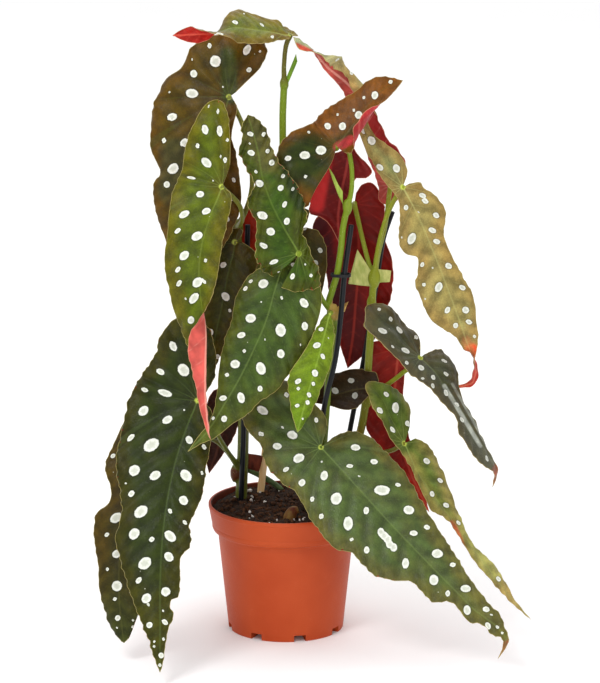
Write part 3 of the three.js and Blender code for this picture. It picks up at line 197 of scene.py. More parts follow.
leaf("leaf_centre_broad", "green", [28, 38], mirror=1, quilt=1.1, face=[[-0.1, -0.93, 0.35]],
    spine=[[8, -36, 323], [-1, -44, 302], [-8, -52, 282], [-15, -60, 259], [-24, -66, 239], [-34, -70, 219],
    [-46, -75, 199], [-59, -80, 179], [-74, -84, 164]],
    narrow=[[2, 6], [8, 15], [17, 22], [27, 26], [38, 28], [61, 25], [78, 23], [98, 17], [114, 9], [133, 3],
    [147, 3]],
    wide=[[-3, -2], [-6, -9], [-1, -22], [13, -34], [32, -38], [65, -35], [81, -31], [89, -30], [101, -23],
    [118, -18], [127, -13], [141, -8], [152, -3]],
    looks=[(60, 80, 26), (74, 82, 22), (130, 154, 78), (76, 84, 22), (130, 40, 30), (170, 90, 66)],
    spots=[(251, 319, 3.9), (242, 335, 2.8), (245, 351, 1.5), (235, 365, 3.5), (227, 376, 1.7),
    (282, 330, 4.2), (282, 354, 3.1), (262, 368, 4.1), (259, 389, 2.1), (241, 398, 3.4), (223, 399, 2.5),
    (225, 418, 2.4), (213, 418, 1.4), (304, 302, 3.7), (304, 327, 2.6), (282, 297, 1.4), (264, 284, 3.6),
    (250, 281, 1.6), (246, 288, 1.8), (261, 301, 0.7), (265, 339, 0.7), (301, 345, 0.7)])
leaf("leaf_young", "green", [11, 18], wave=1, face=[[0.1, -0.97, 0.2]],
    spine=[[37, -42, 269], [34, -47, 263], [30, -63, 252], [25, -76, 236], [19, -83, 217], [14, -85, 199],
    [9, -87, 180]], narrow=[[5, 3], [16, 7], [30, 9], [43, 11], [58, 10], [76, 8], [93, 5]],
    wide=[[3, -3], [9, -5], [22, -8], [37, -11], [50, -15], [62, -18], [74, -14], [86, -9], [96, -3]],
    looks=[(112, 140, 24), (106, 128, 22), (168, 196, 84), (100, 130, 16), (150, 110, 70), (190, 170, 110)],
    spots=[(321, 329, 1.9), (317, 345, 2.7), (322, 357, 2), (315, 373, 2.6), (314, 383, 1.6),
    (298, 381, 2.2), (298, 388, 1.4), (309, 395, 1.9), (308, 402, 1.8), (297, 406, 1.7), (303, 418, 0.9),
    (328, 339, 0.7)])
leaf("leaf_left_low", "green", [26, 44], wave=3, quilt=1.3, ruffle=0.7, face=[[-0.1, -0.9, 0.45]],
    spine=[[-62, -48, 256], [-67, -58, 197], [-75, -65, 178], [-82, -76, 159], [-88, -92, 136],
    [-92, -108, 110], [-94, -124, 79], [-94, -139, 45], [-94, -151, 11]],
    narrow=[[0, 5], [2, 11], [9, 17], [25, 21], [56, 25], [77, 25], [97, 20], [115, 22], [125, 15],
    [152, 15], [160, 8], [171, 10], [181, 6], [194, 4], [207, 2]],
    wide=[[-7, 5], [-21, 10], [-39, 10], [-57, 3], [-64, -11], [-59, -24], [-47, -33], [-32, -38],
    [-15, -47], [6, -51], [24, -50], [42, -48], [62, -44], [86, -35], [100, -34], [111, -37], [127, -32],
    [150, -24], [171, -16], [188, -9], [203, -4]],
    looks=[(40, 50, 8), (54, 52, 6), (92, 114, 52), (64, 64, 6), (120, 34, 26), (160, 80, 60)],
    spots=[(172, 346, 3.3), (183, 369, 4.8), (161, 373, 3.1), (164, 393, 4.6), (144, 390, 2.6),
    (184, 409, 0.8), (145, 412, 3.4), (168, 421, 3.4), (130, 437, 2.8), (152, 445, 5.4), (190, 440, 3.1),
    (204, 448, 2), (134, 471, 4.2), (156, 475, 3.9), (185, 476, 4.5), (202, 472, 1.5), (126, 483, 0.9),
    (131, 495, 2.5), (142, 512, 4.9), (183, 501, 3.6), (170, 511, 1.9), (185, 523, 1.8), (135, 534, 4.1),
    (152, 539, 2.1), (171, 536, 4.3), (144, 563, 4.7), (169, 557, 3.6), (139, 580, 2.4), (166, 591, 3.6),
    (146, 598, 3.8), (149, 606, 0.9), (163, 611, 1), (165, 622, 2.3), (150, 626, 2.4), (163, 640, 1.3),
    (154, 641, 1), (154, 646, 1.1), (161, 656, 2.2), (160, 666, 1.4)])
leaf("leaf_left_lowest", "bronze", [26, 26], face=[[-0.2, -0.95, 0.25]],
    spine=[[-103, -47, 198], [-110, -54, 173], [-117, -69, 142], [-122, -80, 111], [-126, -90, 79],
    [-126, -96, 47], [-123, -96, 16]],
    narrow=[[5, 8], [16, 13], [42, 17], [73, 17], [106, 17], [135, 16], [150, 14], [160, 7]],
    wide=[[-8, -2], [-10, -9], [-1, -15], [12, -18], [29, -22], [37, -20], [49, -14], [59, -14], [67, -22],
    [75, -24], [92, -21], [106, -17], [124, -16], [140, -13], [152, -11], [160, -6]],
    looks=[(56, 50, 8), (72, 56, 10), (96, 96, 46), (54, 60, 18), (120, 40, 30), (160, 80, 56)],
    spots=[(116, 517, 4.2), (107, 534, 1.9), (117, 555, 3.3), (108, 570, 1.4), (117, 585, 4),
    (115, 600, 1.6), (118, 618, 2.3), (133, 621, 1), (133, 626, 1.4), (117, 628, 0.9)])
leaf("leaf_left_shaded", "dark", [20, 22], face=[[-0.1, -0.95, 0.2]],
    spine=[[-40, -2, 318], [-39, -5, 308], [-44, -8, 284], [-49, -11, 258], [-55, -16, 231],
    [-59, -22, 201]], narrow=[[0, 6], [7, 18], [22, 20], [46, 16], [61, 14], [75, 11], [88, 7], [99, 3]],
    wide=[[-3, 5], [-9, 7], [-11, -5], [-8, -16], [5, -21], [33, -22], [55, -17], [77, -11], [99, -3]],
    looks=[(58, 60, 12), (72, 62, 12), (96, 112, 54), None, (90, 28, 22), (130, 60, 46)],
    spots=[(223, 265, 2.4), (225, 297, 3.3), (229, 311, 1.4), (210, 333, 3), (218, 356, 2),
    (214, 374, 1.1)])
leaf("leaf_front_right", "green", [34, 42], sheen=0.24, quilt=1.1, ruffle=0.7, face=[[0.05, -0.85, 0.5]],
    spine=[[-11, -26, 195], [27, -50, 158], [53, -70, 134], [81, -88, 107], [110, -104, 80],
    [139, -117, 53], [166, -126, 26], [160, -126, 13]],
    narrow=[[0, 15], [3, 24], [11, 32], [23, 36], [55, 36], [78, 32], [102, 26], [133, 20], [153, 15],
    [168, 13], [180, 11], [189, 8], [197, 4], [206, 2]],
    wide=[[-10, 15], [-18, 19], [-46, 19], [-60, 14], [-67, -1], [-65, -21], [-52, -33], [-30, -34],
    [-20, -40], [3, -41], [15, -38], [39, -43], [66, -45], [79, -37], [99, -37], [113, -30], [126, -19],
    [145, -19], [158, -8], [174, -10], [181, -6], [191, -7], [199, -4], [206, -2]],
    looks=[(69, 86, 36), (90, 88, 34), (124, 146, 76), (100, 94, 36), (150, 44, 36), (190, 96, 80)],
    spots=[(262, 411, 3.9), (286, 396, 2), (281, 427, 0.8), (317, 420, 1.8), (260, 434, 2.1),
    (294, 436, 3.7), (277, 447, 3.1), (299, 458, 4), (286, 469, 2.3), (325, 475, 3.4), (321, 462, 0.9),
    (303, 483, 2.8), (336, 500, 4.6), (312, 499, 2), (321, 516, 2.1), (348, 524, 4.5), (366, 511, 2.6),
    (352, 541, 1.6), (367, 551, 2.5), (381, 531, 3), (384, 536, 3.1), (387, 540, 3.1), (390, 544, 3),
    (393, 548, 3), (356, 447, 3.2), (374, 461, 2.6), (350, 467, 2.2), (359, 476, 0.9), (381, 490, 5),
    (398, 484, 2), (409, 511, 3.9), (427, 527, 2.2), (413, 534, 2.6), (437, 553, 3.9), (406, 564, 3.3),
    (453, 565, 2.1), (434, 580, 3.8), (447, 593, 2.2), (466, 588, 3.4), (468, 610, 3.1), (486, 609, 2.3),
    (491, 614, 0.8), (488, 626, 2.4), (497, 626, 1.4), (502, 633, 1.2)],
    strokes=[(507, 645, 497, 661, (160, 72, 44), 0.9, 5)])
leaf("leaf_right_low", "green", [26, 20], bend=[[0.3], [0.3]],
    face=[[0.4, -0.72, 0.6], [0.45, -0.7, 0.6], [0.6, -0.6, 0.5], [0.6, -0.55, 0.5], [0.6, -0.5, 0.5],
    [0.4, -0.7, 0.6]],
    spine=[[69, -18, 195], [91, -32, 156], [102, -40, 134], [114, -47, 118], [127, -54, 102],
    [141, -60, 85], [156, -65, 65], [172, -68, 44], [188, -68, 26]],
    narrow=[[0, 11], [3, 15], [11, 21], [22, 24], [36, 22], [50, 17], [62, 12], [74, 8], [84, 4], [95, 2],
    [106, 5], [119, 8], [134, 6], [147, 2]],
    wide=[[-12, 14], [-23, 21], [-36, 19], [-47, 11], [-55, 0], [-47, -8], [-14, -10], [6, -6], [22, -4],
    [40, -8], [55, -11], [63, -6], [73, -4], [86, -6], [104, -8], [123, -6], [138, -4]],
    looks=[(98, 116, 46), (140, 130, 66), (150, 166, 90), (170, 144, 84), (180, 56, 42), (200, 110, 80)],
    spots=[(386, 395, 2.2), (380, 410, 2.4), (396, 408, 3.6), (408, 424, 2.4), (392, 430, 2.2),
    (427, 461, 2.9), (440, 480, 2.3), (432, 494, 2.4), (446, 505, 2.4), (458, 523, 2.1), (498, 579, 2.3)],
    strokes=[(384, 392, 402, 438, (70, 96, 30), 0.8, 18), (452, 524, 463, 550, (190, 70, 48), 0.7, 4),
    (470, 520, 495, 570, (166, 166, 92), 0.6, 12)])
leaf("leaf_red_low", "red", [20, 14], red_side=True, face=[[-0.1, 0.97, 0.1]],
    spine=[[86, 22, 234], [87, 22, 217], [85, 22, 193], [84, 21, 172], [88, 12, 147], [98, -3, 121],
    [111, -16, 96]],
    narrow=[[-3, 6], [-8, 14], [-5, 21], [13, 23], [37, 22], [53, 25], [64, 23], [76, 17], [95, 11],
    [116, 6]], wide=[[-7, -1], [-2, -5], [8, -7], [39, -7], [61, -8], [82, -8], [103, -7], [121, -3]],
    looks=[(80, 84, 44), (104, 84, 44), (120, 130, 66), None, (150, 36, 24), (190, 80, 60)],
    strokes=[(414, 478, 432, 518, (178, 50, 32), 0.7, 10)])
leaf("leaf_small_dark", "dark", [14, 16], wave=1, dull=0.4, face=[[0, -0.85, 0.45]],
    spine=[[71, -4, 196], [65, -4, 193], [53, -4, 191], [42, -4, 188], [28, -3, 185], [15, -2, 181]],
    narrow=[[2, 6], [10, 13], [21, 14], [31, 9], [43, 4]],
    wide=[[-3, 3], [-7, 1], [-9, -6], [-6, -11], [4, -16], [15, -17], [27, -17], [40, -13]],
    looks=[(48, 36, 16), (54, 36, 14), (90, 84, 48), None, (110, 34, 28), (150, 70, 56)],
    spots=[(350, 381, 2.2), (335, 391, 2.7), (355, 396, 2.6)])
leaf("leaf_red_gap", "red", [22, 24], mirror=1, face=[[0.1, 0.97, 0]],
    spine=[[-4, 25, 322], [-14, 24, 304], [-20, 24, 295], [-26, 24, 285], [-33, 24, 274], [-38, 24, 262]],
    narrow=[[4, 6], [14, 13], [28, 13], [39, 8]],
    wide=[[-5, 3], [-16, 4], [-27, -1], [-28, -12], [-25, -22], [-17, -26], [-3, -26], [12, -21], [28, -18],
    [38, -8]], looks=[(60, 66, 36), (84, 70, 36), (100, 110, 56), None, (176, 50, 20), (190, 80, 56)])
leaf("leaf_shadow", "red", [14, 14], face=[[0, 0.98, 0.1]],
    spine=[[-46, 36, 196], [-46, 34, 184], [-47, 32, 167], [-49, 30, 149], [-54, 28, 132], [-60, 26, 115]],
    narrow=[[2, 5], [5, 11], [15, 15], [33, 16], [50, 13], [61, 7]],
    wide=[[-8, -2], [-1, -9], [10, -12], [32, -11], [43, -8], [55, -5]],
    # Its dark colours, the underside most of all, are painted shade deep inside the plant.
    looks=[(56, 60, 34), (70, 60, 34), (90, 96, 50), None, (56, 28, 16), (90, 50, 36)])

# Each cane: its radius at foot and top, what the remesh takes off it, its stalks with the leaf that each
# carries, knuckles, sheaths, and the skin: low and high colour, heights between which it changes, blush;
# scars as place, reach and colour
CANES = [
    dict(name="cane_left", radius=[4.4, 3.4], trim=0.35,
        path=[[-35, 25, 92], [-34, 24, 119], [-33, 22, 152], [-33, 20, 184], [-34, 18, 225], [-34, 14, 258],
        [-37, 10, 290], [-37, 6, 318]],
        stalks=[
        ("leaf_left_high", [[-37, 6, 318], [-31, 2, 330], [-26, 0, 348], [-27, 0, 371], [-32, 2, 396]]),
        ("leaf_left_front", [[-37, 6, 317], [-33, -14, 328], [-36, -32, 345]]),
        ("leaf_left_shaded", [[-37, 10, 289], [-39, 0, 302]]),
        ("leaf_red_gap", [[-34, 14, 258], [-21, 18, 281]]),
        ("leaf_shadow", [[-33, 20, 178], [-40, 22, 184]]),
        ("leaf_left_low", [[-36, 24, 119], [-41, 10, 131], [-51, -20, 157], [-61, -42, 184]]),
        ("leaf_left_lowest", [[-36, 26, 120], [-54, -4, 150], [-73, -34, 164], [-94, -45, 171]])],
        knuckles=[[-37, 7, 316, 4.8], [-39, 24, 116, 4.6]],
        sheaths=[("brown_sheath", [[-33, 26, 120], [-21, 28, 116], [-18, 28, 129], [-32, 26, 132]])],
        skin=[(96, 104, 40), (118, 124, 44), 150, 300, (110, 76, 34)],
        scars=[(-40, 23, 116, 6.5, (92, 36, 20))]),
    dict(name="cane_top", radius=[3, 2.7], trim=0.05,
        path=[[20, 22, 92], [20, 20, 136], [17, 18, 177], [13, 14, 218], [7, 8, 259], [2, 2, 300],
        [-1, 2, 339], [-2, 4, 378], [-2, 5, 409], [-1, 5, 429]],
        stalks=[("leaf_top_left", [[-1, 5, 428], [-1, 4, 446]]),
        ("leaf_top_arched", [[-2, 4, 362], [11, 2, 367], [27, -6, 381]]),
        ("leaf_centre_dark", [[1, 2, 308], [8, -5, 317]]),
        ("leaf_centre_broad", [[6, 7, 265], [-8, -4, 278], [-11, -22, 290]])],
        knuckles=[[-1, 5, 429, 3.6], [-2, 4, 362, 3.4], [2, 2, 302, 3.8], [6, 7, 265, 4]],
        sheaths=[("green_sheath", [[-2, 5, 428], [1, 5, 427], [9, 7, 446], [8, 7, 452]])],
        skin=[(114, 136, 24), (96, 92, 22), 424, 436, (112, 134, 34)],
        scars=[]),
    dict(name="cane_centre", radius=[3.4, 2.6], trim=-0.15,
        path=[[28, 8, 92], [28, 0, 128], [30, -10, 160], [32, -16, 190], [34, -22, 220], [36, -26, 257],
        [33, -27, 266], [35, -28, 274], [39, -28, 288], [42, -27, 307], [44, -25, 326], [47, -24, 340]],
        stalks=[("leaf_red_flap", [[47, -24, 339], [50, -24, 353], [50, -23, 371]]),
        ("leaf_centre_crinkled", [[36, -26, 257], [28, -34, 270], [20, -36, 292], [14, -38, 312]]),
        ("leaf_young", [[36, -26, 257], [35, -34, 260]]),
        ("leaf_front_right", [[28, 2, 116], [30, -14, 130], [29, -34, 147]])],
        knuckles=[[36, -26, 257, 5], [47, -24, 340, 3.8], [28, 2, 118, 4.6]],
        sheaths=[("pale_sheath", [[46, -24, 336], [40, -25, 350], [33, -25, 371], [43, -24, 352]]),
        ("dry_sheath", [[37, -26, 255], [45, -28, 259], [48, -28, 267], [40, -27, 263]])],
        skin=[(72, 92, 14), (114, 136, 24), 110, 240, (128, 140, 46)],
        scars=[(40, -29, 260, 9, (190, 156, 84))]),
    dict(name="cane_right", radius=[3.4, 2.7], trim=0.1,
        path=[[44, 8, 92], [51, 8, 131], [58, 8, 155], [62, 8, 180], [64, 8, 212], [66, 8, 243],
        [67, 8, 267], [68, 7, 278]],
        stalks=[("leaf_right_high", [[68, 7, 277], [70, 4, 296], [75, 0, 320], [80, -4, 335]]),
        ("leaf_top_red", [[68, 7, 276], [71, 12, 294], [76, 10, 316]]),
        ("leaf_red_back", [[67, 8, 276], [61, 13, 298], [56, 19, 318]]),
        ("leaf_right_dark", [[63, 8, 181], [79, -2, 195], [91, -14, 208]]),
        ("leaf_right_low", [[55, 8, 143], [69, 0, 140], [82, -16, 146]]),
        ("leaf_small_dark", [[62, 8, 178], [65, 5, 186]]),
        ("leaf_red_low", [[66, 8, 258], [76, 5, 242], [85, 5, 224]])],
        knuckles=[[68, 7, 277, 5], [63, 8, 181, 4.4], [56, 8, 145, 4.6], [66, 8, 257, 3.8]],
        sheaths=[("papery_sheath", [[68, 6, 270], [48, 4, 273], [55, 4, 300], [66, 6, 282]]),
        ("papery_sheath", [[68, 7, 273], [80, 6, 274], [81, 6, 283], [70, 7, 284]])],
        skin=[(106, 106, 20), (138, 148, 38), 120, 262, (136, 104, 44)],
        scars=[]),
]
STAKES = {
    "stake_left": [[-35, 16, 92], [-33, 13, 146], [-31, 10, 230], [-29, 6, 319]],
    "stake_centre": [[15, -4, 92], [24, -16, 140], [30, -24, 185], [38, -30, 222], [42, -33, 257],
        [45, -29, 290], [50, -24, 326]],
    "stake_right": [[40, 19, 92], [50, 23, 152], [62, 23, 217], [70, 21, 270], [76, 21, 308],
        [82, 21, 326]],
}

# Sheaths: dark and pale colour, scale of the grain, roughness
SHEATHS = {
    "brown_sheath": [(70, 26, 16), (122, 56, 34), 260, 0.7],
    "dry_sheath": [(160, 116, 56), (222, 186, 110), 260, 0.7],
    "green_sheath": [(84, 122, 22), (124, 160, 40), 200, 0.45],
    "pale_sheath": [(130, 162, 50), (178, 200, 90), 200, 0.45],
    "papery_sheath": [(158, 170, 84), (206, 206, 130), 260, 0.6],
}
RIM_COLOUR = (170, 134, 84)
# Stalks: radii from cane to leaf, and how far under the blade their last two points lie
STALK_RADII = [2.4, 2, 1.9, 1.9, 2, 2.2]
STALK_ENDS = (7, 0.1)
# Size of the cells in which a cane's parts are joined to one skin
VOXEL = 0.75
# How far canes and stakes reach down into the soil from the first point of their path
BURIED = 24
STAKE_RADIUS = 2
# Bare stick: size, its middle over the foot, place of the foot, lean to the right in radians
STICK_SIZE = (5.5, 1.5, 74)
STICK_MIDDLE = (0, 0, 11)
STICK_FOOT = (-20.4, 38, 92)
STICK_LEAN = 0.11

# Pot: its profile as radius and height runs under the foot, up the outside and down the inside to the floor
POT_HEIGHT = 100
BASE_RADIUS = 44.6
FLOOR = 7
RIM_RADIUS = 60
STEP_HEIGHT = 79.5
NOTCH = {"count": 8, "width": 9.4, "height": 5.2, "depth": 20, "turn": 0.25}
DRAIN = {"count": 4, "radius": 4, "ring": 15}
POT_PROFILE = [[0.01, 0.6], [BASE_RADIUS - 7, 0.6], [BASE_RADIUS - 6, 0], [BASE_RADIUS, 0], [52.7, 77],
    [53.6, STEP_HEIGHT - 1], [56.4, STEP_HEIGHT], [57.2, STEP_HEIGHT + 2], [57.3, 83.5], [57.15, 84],
    [57.4, 84.6], [RIM_RADIUS - 0.35, 96.6], [RIM_RADIUS, 97.2], [RIM_RADIUS, POT_HEIGHT - 0.6],
    [RIM_RADIUS - 0.6, POT_HEIGHT], [RIM_RADIUS - 1.8, POT_HEIGHT], [57.6, 99], [55.8, 80], [50.6, 78],
    [43, FLOOR], [0.01, FLOOR]]
# The inner wall above the soil widens by this share of the height
WALL_TAPER = 0.0947

# Soil: height at its front edge and rise to the back, radius, walls below its edge, and reach of the crumbs
SOIL_TOP = 92
SOIL_RISE = 0.05
SOIL_FRONT = -56
SOIL_RADIUS = 56.2
SOIL_WALLS = [(55.1, 80.6), (49.9, 78.5), (42.3, FLOOR + 0.4)]
SOIL_RINGS = 40
SOIL_SIDES = 120
CRUMB_REACH = 53
# Dry stub at the front, and a thin stalk that lies low behind the stick
STUB_PATH = [[1.8, -24, 88], [3.2, -23, 95], [6, -22, 99], [9.4, -21, 100]]
STUB_RADII = [4.2, 4.9, 4.6, 2.8]
LOW_STALK_PATH = [[-31, 33, 117], [-20, 42, 109], [-8, 43, 101], [-3, 42, 97]]
LOW_STALK_RADII = [2.2, 2.4, 2]

# Lamps: place and size in metres, power in watts; the sky's strength rises from low to high
LAMPS = (("key", (-0.9, -1.3, 1.9), 0.6, 15), ("fill", (1.3, -1.6, 0.9), 1.4, 2),
    ("back", (0.2, 1.2, 1.6), 1.2, 5), ("low", (-0.25, -1.9, 0.5), 0.4, 5))
LAMP_AIM = (0, 0, 0.25)
SKY_RAMP = (-0.1, 0.8, 0.6, 1.1)

# Half thickness of a blade in its middle and at its edge, cell size, and strips from midrib to edge
HALF_BLADE = 0.3
HALF_EDGE = 0.13
CELL = 1.9
STRIPS = 22
# Share of its half width that a blade has at shares of its length
TAPER = ((0, 0.3, 0.48, 0.7, 0.88, 1), (1, 1, 0.85, 0.58, 0.28, 0.06))
# Share of the length up to which the rows of cells fan out from the joint
FAN_SHARE = 0.1
# Side veins: run forward for each mm outward, curve, spacing as a share of the length, and slant
VEIN_SLOPE = 0.75
VEIN_CURVE = 0.006
VEIN_STEP = 0.085
VEIN_SLANT = 0.72
# Degrees of the first vein round the joint, and between two of them
FAN_START = 50
FAN_STEP = 26
# Mm over which cells fade at the edge, rise beside a vein, and ruffles fade inward
EDGE_FADE = 4
CELL_RISE = 4.2
RUFFLE_FADE = 7
PLAIN_RUFFLE = 0.4
RUFFLE_WAVE = (0.62, 0.85)
# Spots: largest one of the seeded rule, and the radius under which a spot stays round
LARGEST_SPOT = 3.8
ROUND_UNDER = 1.5
# Spots of the seeded rule: least distance to the edge, midrib, veins, seen spots and one another
FREE_EDGE = 4
FREE_RIB = 3.5
FREE_VEIN = 1.2
FREE_SEEN = 27
FREE_UNSEEN = 15
FREE_OTHER = 13
# Places that the seeded rule tries, and the least share of a blade's normal that shows a spot to the camera
TRIES = 1500
TOWARD_CAMERA = (0, -0.97, 0.25)
LEAST_SHOWN = 0.02
# Mm over which the teeth of the edge fade at its start and at the tip
TOOTH_FADE = (12, 20)


def unit(v):
    return v / np.maximum(1e-9, np.linalg.norm(v, axis=-1, keepdims=True))


def run_along(points):
    """Length from the first point to each point of a line."""
    return np.concatenate([[0], np.cumsum(np.linalg.norm(np.diff(points, axis=0), axis=1))])


def spread(values, share):
    """Values of an evenly spread list at shares of its length."""
    table = np.asarray(values, float)
    at = share * (len(table) - 1)
    low = np.clip(np.floor(at).astype(int), 0, max(0, len(table) - 2))
    high = np.minimum(low + 1, len(table) - 1)
    w = at - low
    if table.ndim > 1:
        w = w[:, None]
    return table[low] * (1 - w) + table[high] * w


def smooth(points, marks, at):
    """Points and directions of a smooth line through a list of points, at lengths along it."""
    points = np.asarray(points, float)
    run = np.diff(marks)
    slope = np.diff(points, axis=0) / run[:, None]
    lean = np.empty_like(points)
    lean[0] = slope[0]
    lean[-1] = slope[-1]
    for k in range(1, len(points) - 1):
        lean[k] = (slope[k - 1] * run[k] + slope[k] * run[k - 1]) / (run[k - 1] + run[k])
    i = np.clip(np.searchsorted(marks, at, side="right") - 1, 0, len(points) - 2)
    w = ((at - marks[i]) / run[i])[:, None]
    start, end = points[i], points[i + 1]
    t1, t2 = lean[i] * run[i][:, None], lean[i + 1] * run[i][:, None]
    a, b = 3 * (end - start) - 2 * t1 - t2, 2 * (start - end) + t1 + t2
    return start + t1 * w + a * w * w + b * w ** 3, unit(t1 + 2 * a * w + 3 * b * w * w), i, w[:, 0]


class Leaf:
    """Surface of a leaf: the same smooth spine, face, cup, bend and wave as its solid has."""
    def __init__(self, data, seed):
        self.data = data
        self.name = data["name"]
        self.seed = seed
        runs = np.linalg.norm(np.diff(np.asarray(data["spine"], float), axis=0), axis=1)
        self.back = runs[0]
        self.marks = np.concatenate([[-runs[0], 0], np.cumsum(runs[1:])])
        self.length = self.marks[-1]

    def rib(self, along):
        """Points of the midrib with the blade's normal, its way across and the share of the spine."""
        data = self.data
        inside = np.clip(along, -self.back, self.length)
        middle, tangent, i, w = smooth(data["spine"], self.marks, inside)
        middle = middle + tangent * np.minimum(0, along + self.back)[:, None]
        share = (i + w) / (len(data["spine"]) - 1)
        normal = spread(data["face"], share)
        normal = unit(normal - tangent * np.sum(normal * tangent, axis=1, keepdims=True))
        across = np.cross(normal, tangent) * (-1 if data["mirror"] else 1)
        return middle, normal, across, share

    def at(self, along, across):
        """Points and upper normals of the blade's middle surface."""
        data = self.data
        middle, normal, side, share = self.rib(along)
        narrow = across > 0
        half = np.where(narrow, data["half"][0], data["half"][1])
        width = half * np.interp(along / self.length, *TAPER)
        cup = spread(data["cup"], share)
        bend = np.where(narrow, spread(data["bend"][0], share), spread(data["bend"][1], share))
        bend = np.where(np.abs(bend) < 0.001, 0.001, bend)
        q = np.minimum(np.abs(across) / width, 1.8)
        tilt = cup - bend * q
        out = width * (np.sin(cup) - np.sin(tilt)) / bend
        lift = width * (np.cos(tilt) - np.cos(cup)) / bend
        if data["fold"]:
            radius = data["fold"]["radius"]
            past = across - spread(data["fold"]["at"], share)
            turn = np.minimum(spread(data["fold"]["turn"], share), past / radius)
            back = past - turn * radius
            folded = narrow & (turn > 0)
            tilt = np.where(folded, -turn, tilt)
            out = np.where(folded, across - past + radius * np.sin(turn) + back * np.cos(turn), out)
            lift = np.where(folded, radius * (np.cos(turn) - 1) - back * np.sin(turn), lift)
        edge = np.minimum(1.2, np.hypot(np.minimum(along, 0), across) / half)
        ripple = (0.6 * np.sin(0.13 * along + 0.1 * across + 1.7 * self.seed)
            + 0.4 * np.sin(0.22 * along - 0.16 * across + 2.3 * self.seed))
        lift = lift + data["wave"] * edge * edge * ripple
        way = np.where(narrow, 1, -1)
        point = middle + side * (way * out)[:, None] + normal * lift[:, None]
        lean = np.where(across == 0, 0, tilt)
        up = normal * np.cos(lean)[:, None] - side * (way * np.sin(lean))[:, None]
        return point, up

    def outline(self, edge):
        """Edge line of one side, smooth and finely toothed, from its first point to the tip."""
        points = np.array(edge + [[self.length, 0]], float)
        last = len(points) - 1
        line = smooth(points, np.arange(last + 1.0), np.linspace(0, last, last * 10 + 1))[0]
        run = run_along(line)
        way = unit(np.gradient(line, axis=0))
        outward = np.stack([-way[:, 1], way[:, 0]], axis=1)
        if line[:, 1].sum() < 0:
            outward = -outward
        fade = np.clip(np.minimum(run / TOOTH_FADE[0], (run[-1] - run) / TOOTH_FADE[1]), 0, 1)
        rough = 0.5 + 0.5 * np.sin(run * 0.11 + self.seed) + 0.6 * self.data["ruffle"]
        tooth = rough * (0.4 * np.sin(run * 0.9 + self.seed) + 0.35 * np.sin(run * 0.37 + 2 * self.seed))
        return line + outward * (tooth * fade)[:, None]

    def rows(self, line):
        """Rows from the midrib out to the edge line: a fan round the joint, then rows along the rib."""
        start = FAN_SHARE * self.length

        def crossing(along):
            i = len(line) - 2
            while i > 0 and line[i][0] >= along:
                i -= 1
            w = (along - line[i][0]) / (line[i + 1][0] - line[i][0])
            return i, np.array([along, line[i][1] + (line[i + 1][1] - line[i][1]) * w])

        turn, corner = crossing(start)
        fan = np.vstack([line[:turn + 1], corner])
        run = run_along(fan)
        count = max(2, round(run[-1] / CELL))
        at = np.linspace(0, run[-1], count + 1)
        forward = max(2, round(self.length / CELL))
        share = np.arange(1, forward) / forward
        tip = [[self.length, 0]]
        inner = [np.zeros((count + 1, 2)), np.stack([share * self.length, 0 * share], axis=1), tip]
        outer = [np.stack([np.interp(at, run, fan[:, k]) for k in (0, 1)], axis=1),
            [crossing(start + (self.length - start) * s)[1] for s in share], tip]
        return np.vstack(inner), np.vstack(outer)

    def ahead(self, along, out):
        """How far a place lies ahead of the side vein that starts at the joint."""
        return along - VEIN_SLOPE * out - VEIN_CURVE * out * out

    def vein_gap(self, along, across):
        """Distance to the nearest side vein: straight rays round the joint, curved ones along the midrib."""
        out = np.abs(across)
        ahead = self.ahead(along, out)
        step = VEIN_STEP * self.length
        pinnate = np.abs(ahead / step - np.round(ahead / step)) * step * VEIN_SLANT
        turn = np.clip(np.degrees(np.arctan2(out, along)) - FAN_START, 0, 130)
        off = np.abs(turn / FAN_STEP - np.round(turn / FAN_STEP)) * FAN_STEP
        fan = np.hypot(along, across) * np.sin(np.radians(np.minimum(off, 90)))
        return np.where(ahead > 0, pinnate, fan)


BLADES = {data["name"]: Leaf(data, seed) for seed, data in enumerate(LEAVES, 1)}


def project(points):
    """Photo pixels of points in mm."""
    pitch = math.radians(CAMERA_PITCH)
    ahead = np.array([0, math.cos(pitch), -math.sin(pitch)])
    up = np.array([0, math.sin(pitch), math.cos(pitch)])
    rel = points - np.array(CAMERA_AT)
    depth = rel @ ahead
    scale = LENS / FILM * PHOTO[1]
    x, y = scale * rel[:, 0] / depth, scale * (rel @ up) / depth
    return np.stack([PHOTO[0] / 2 + x, PHOTO[1] / 2 - y], axis=1)


def far_from(points, line):
    """Distance of points from a line in their plane."""
    best = np.full(len(points), 1e9)
    for a, b in zip(line[:-1], line[1:]):
        d = b - a
        t = np.clip(((points - a) @ d) / max(1e-9, d @ d), 0, 1)
        best = np.minimum(best, np.hypot(*(points - a - t[:, None] * d).T))
    return best


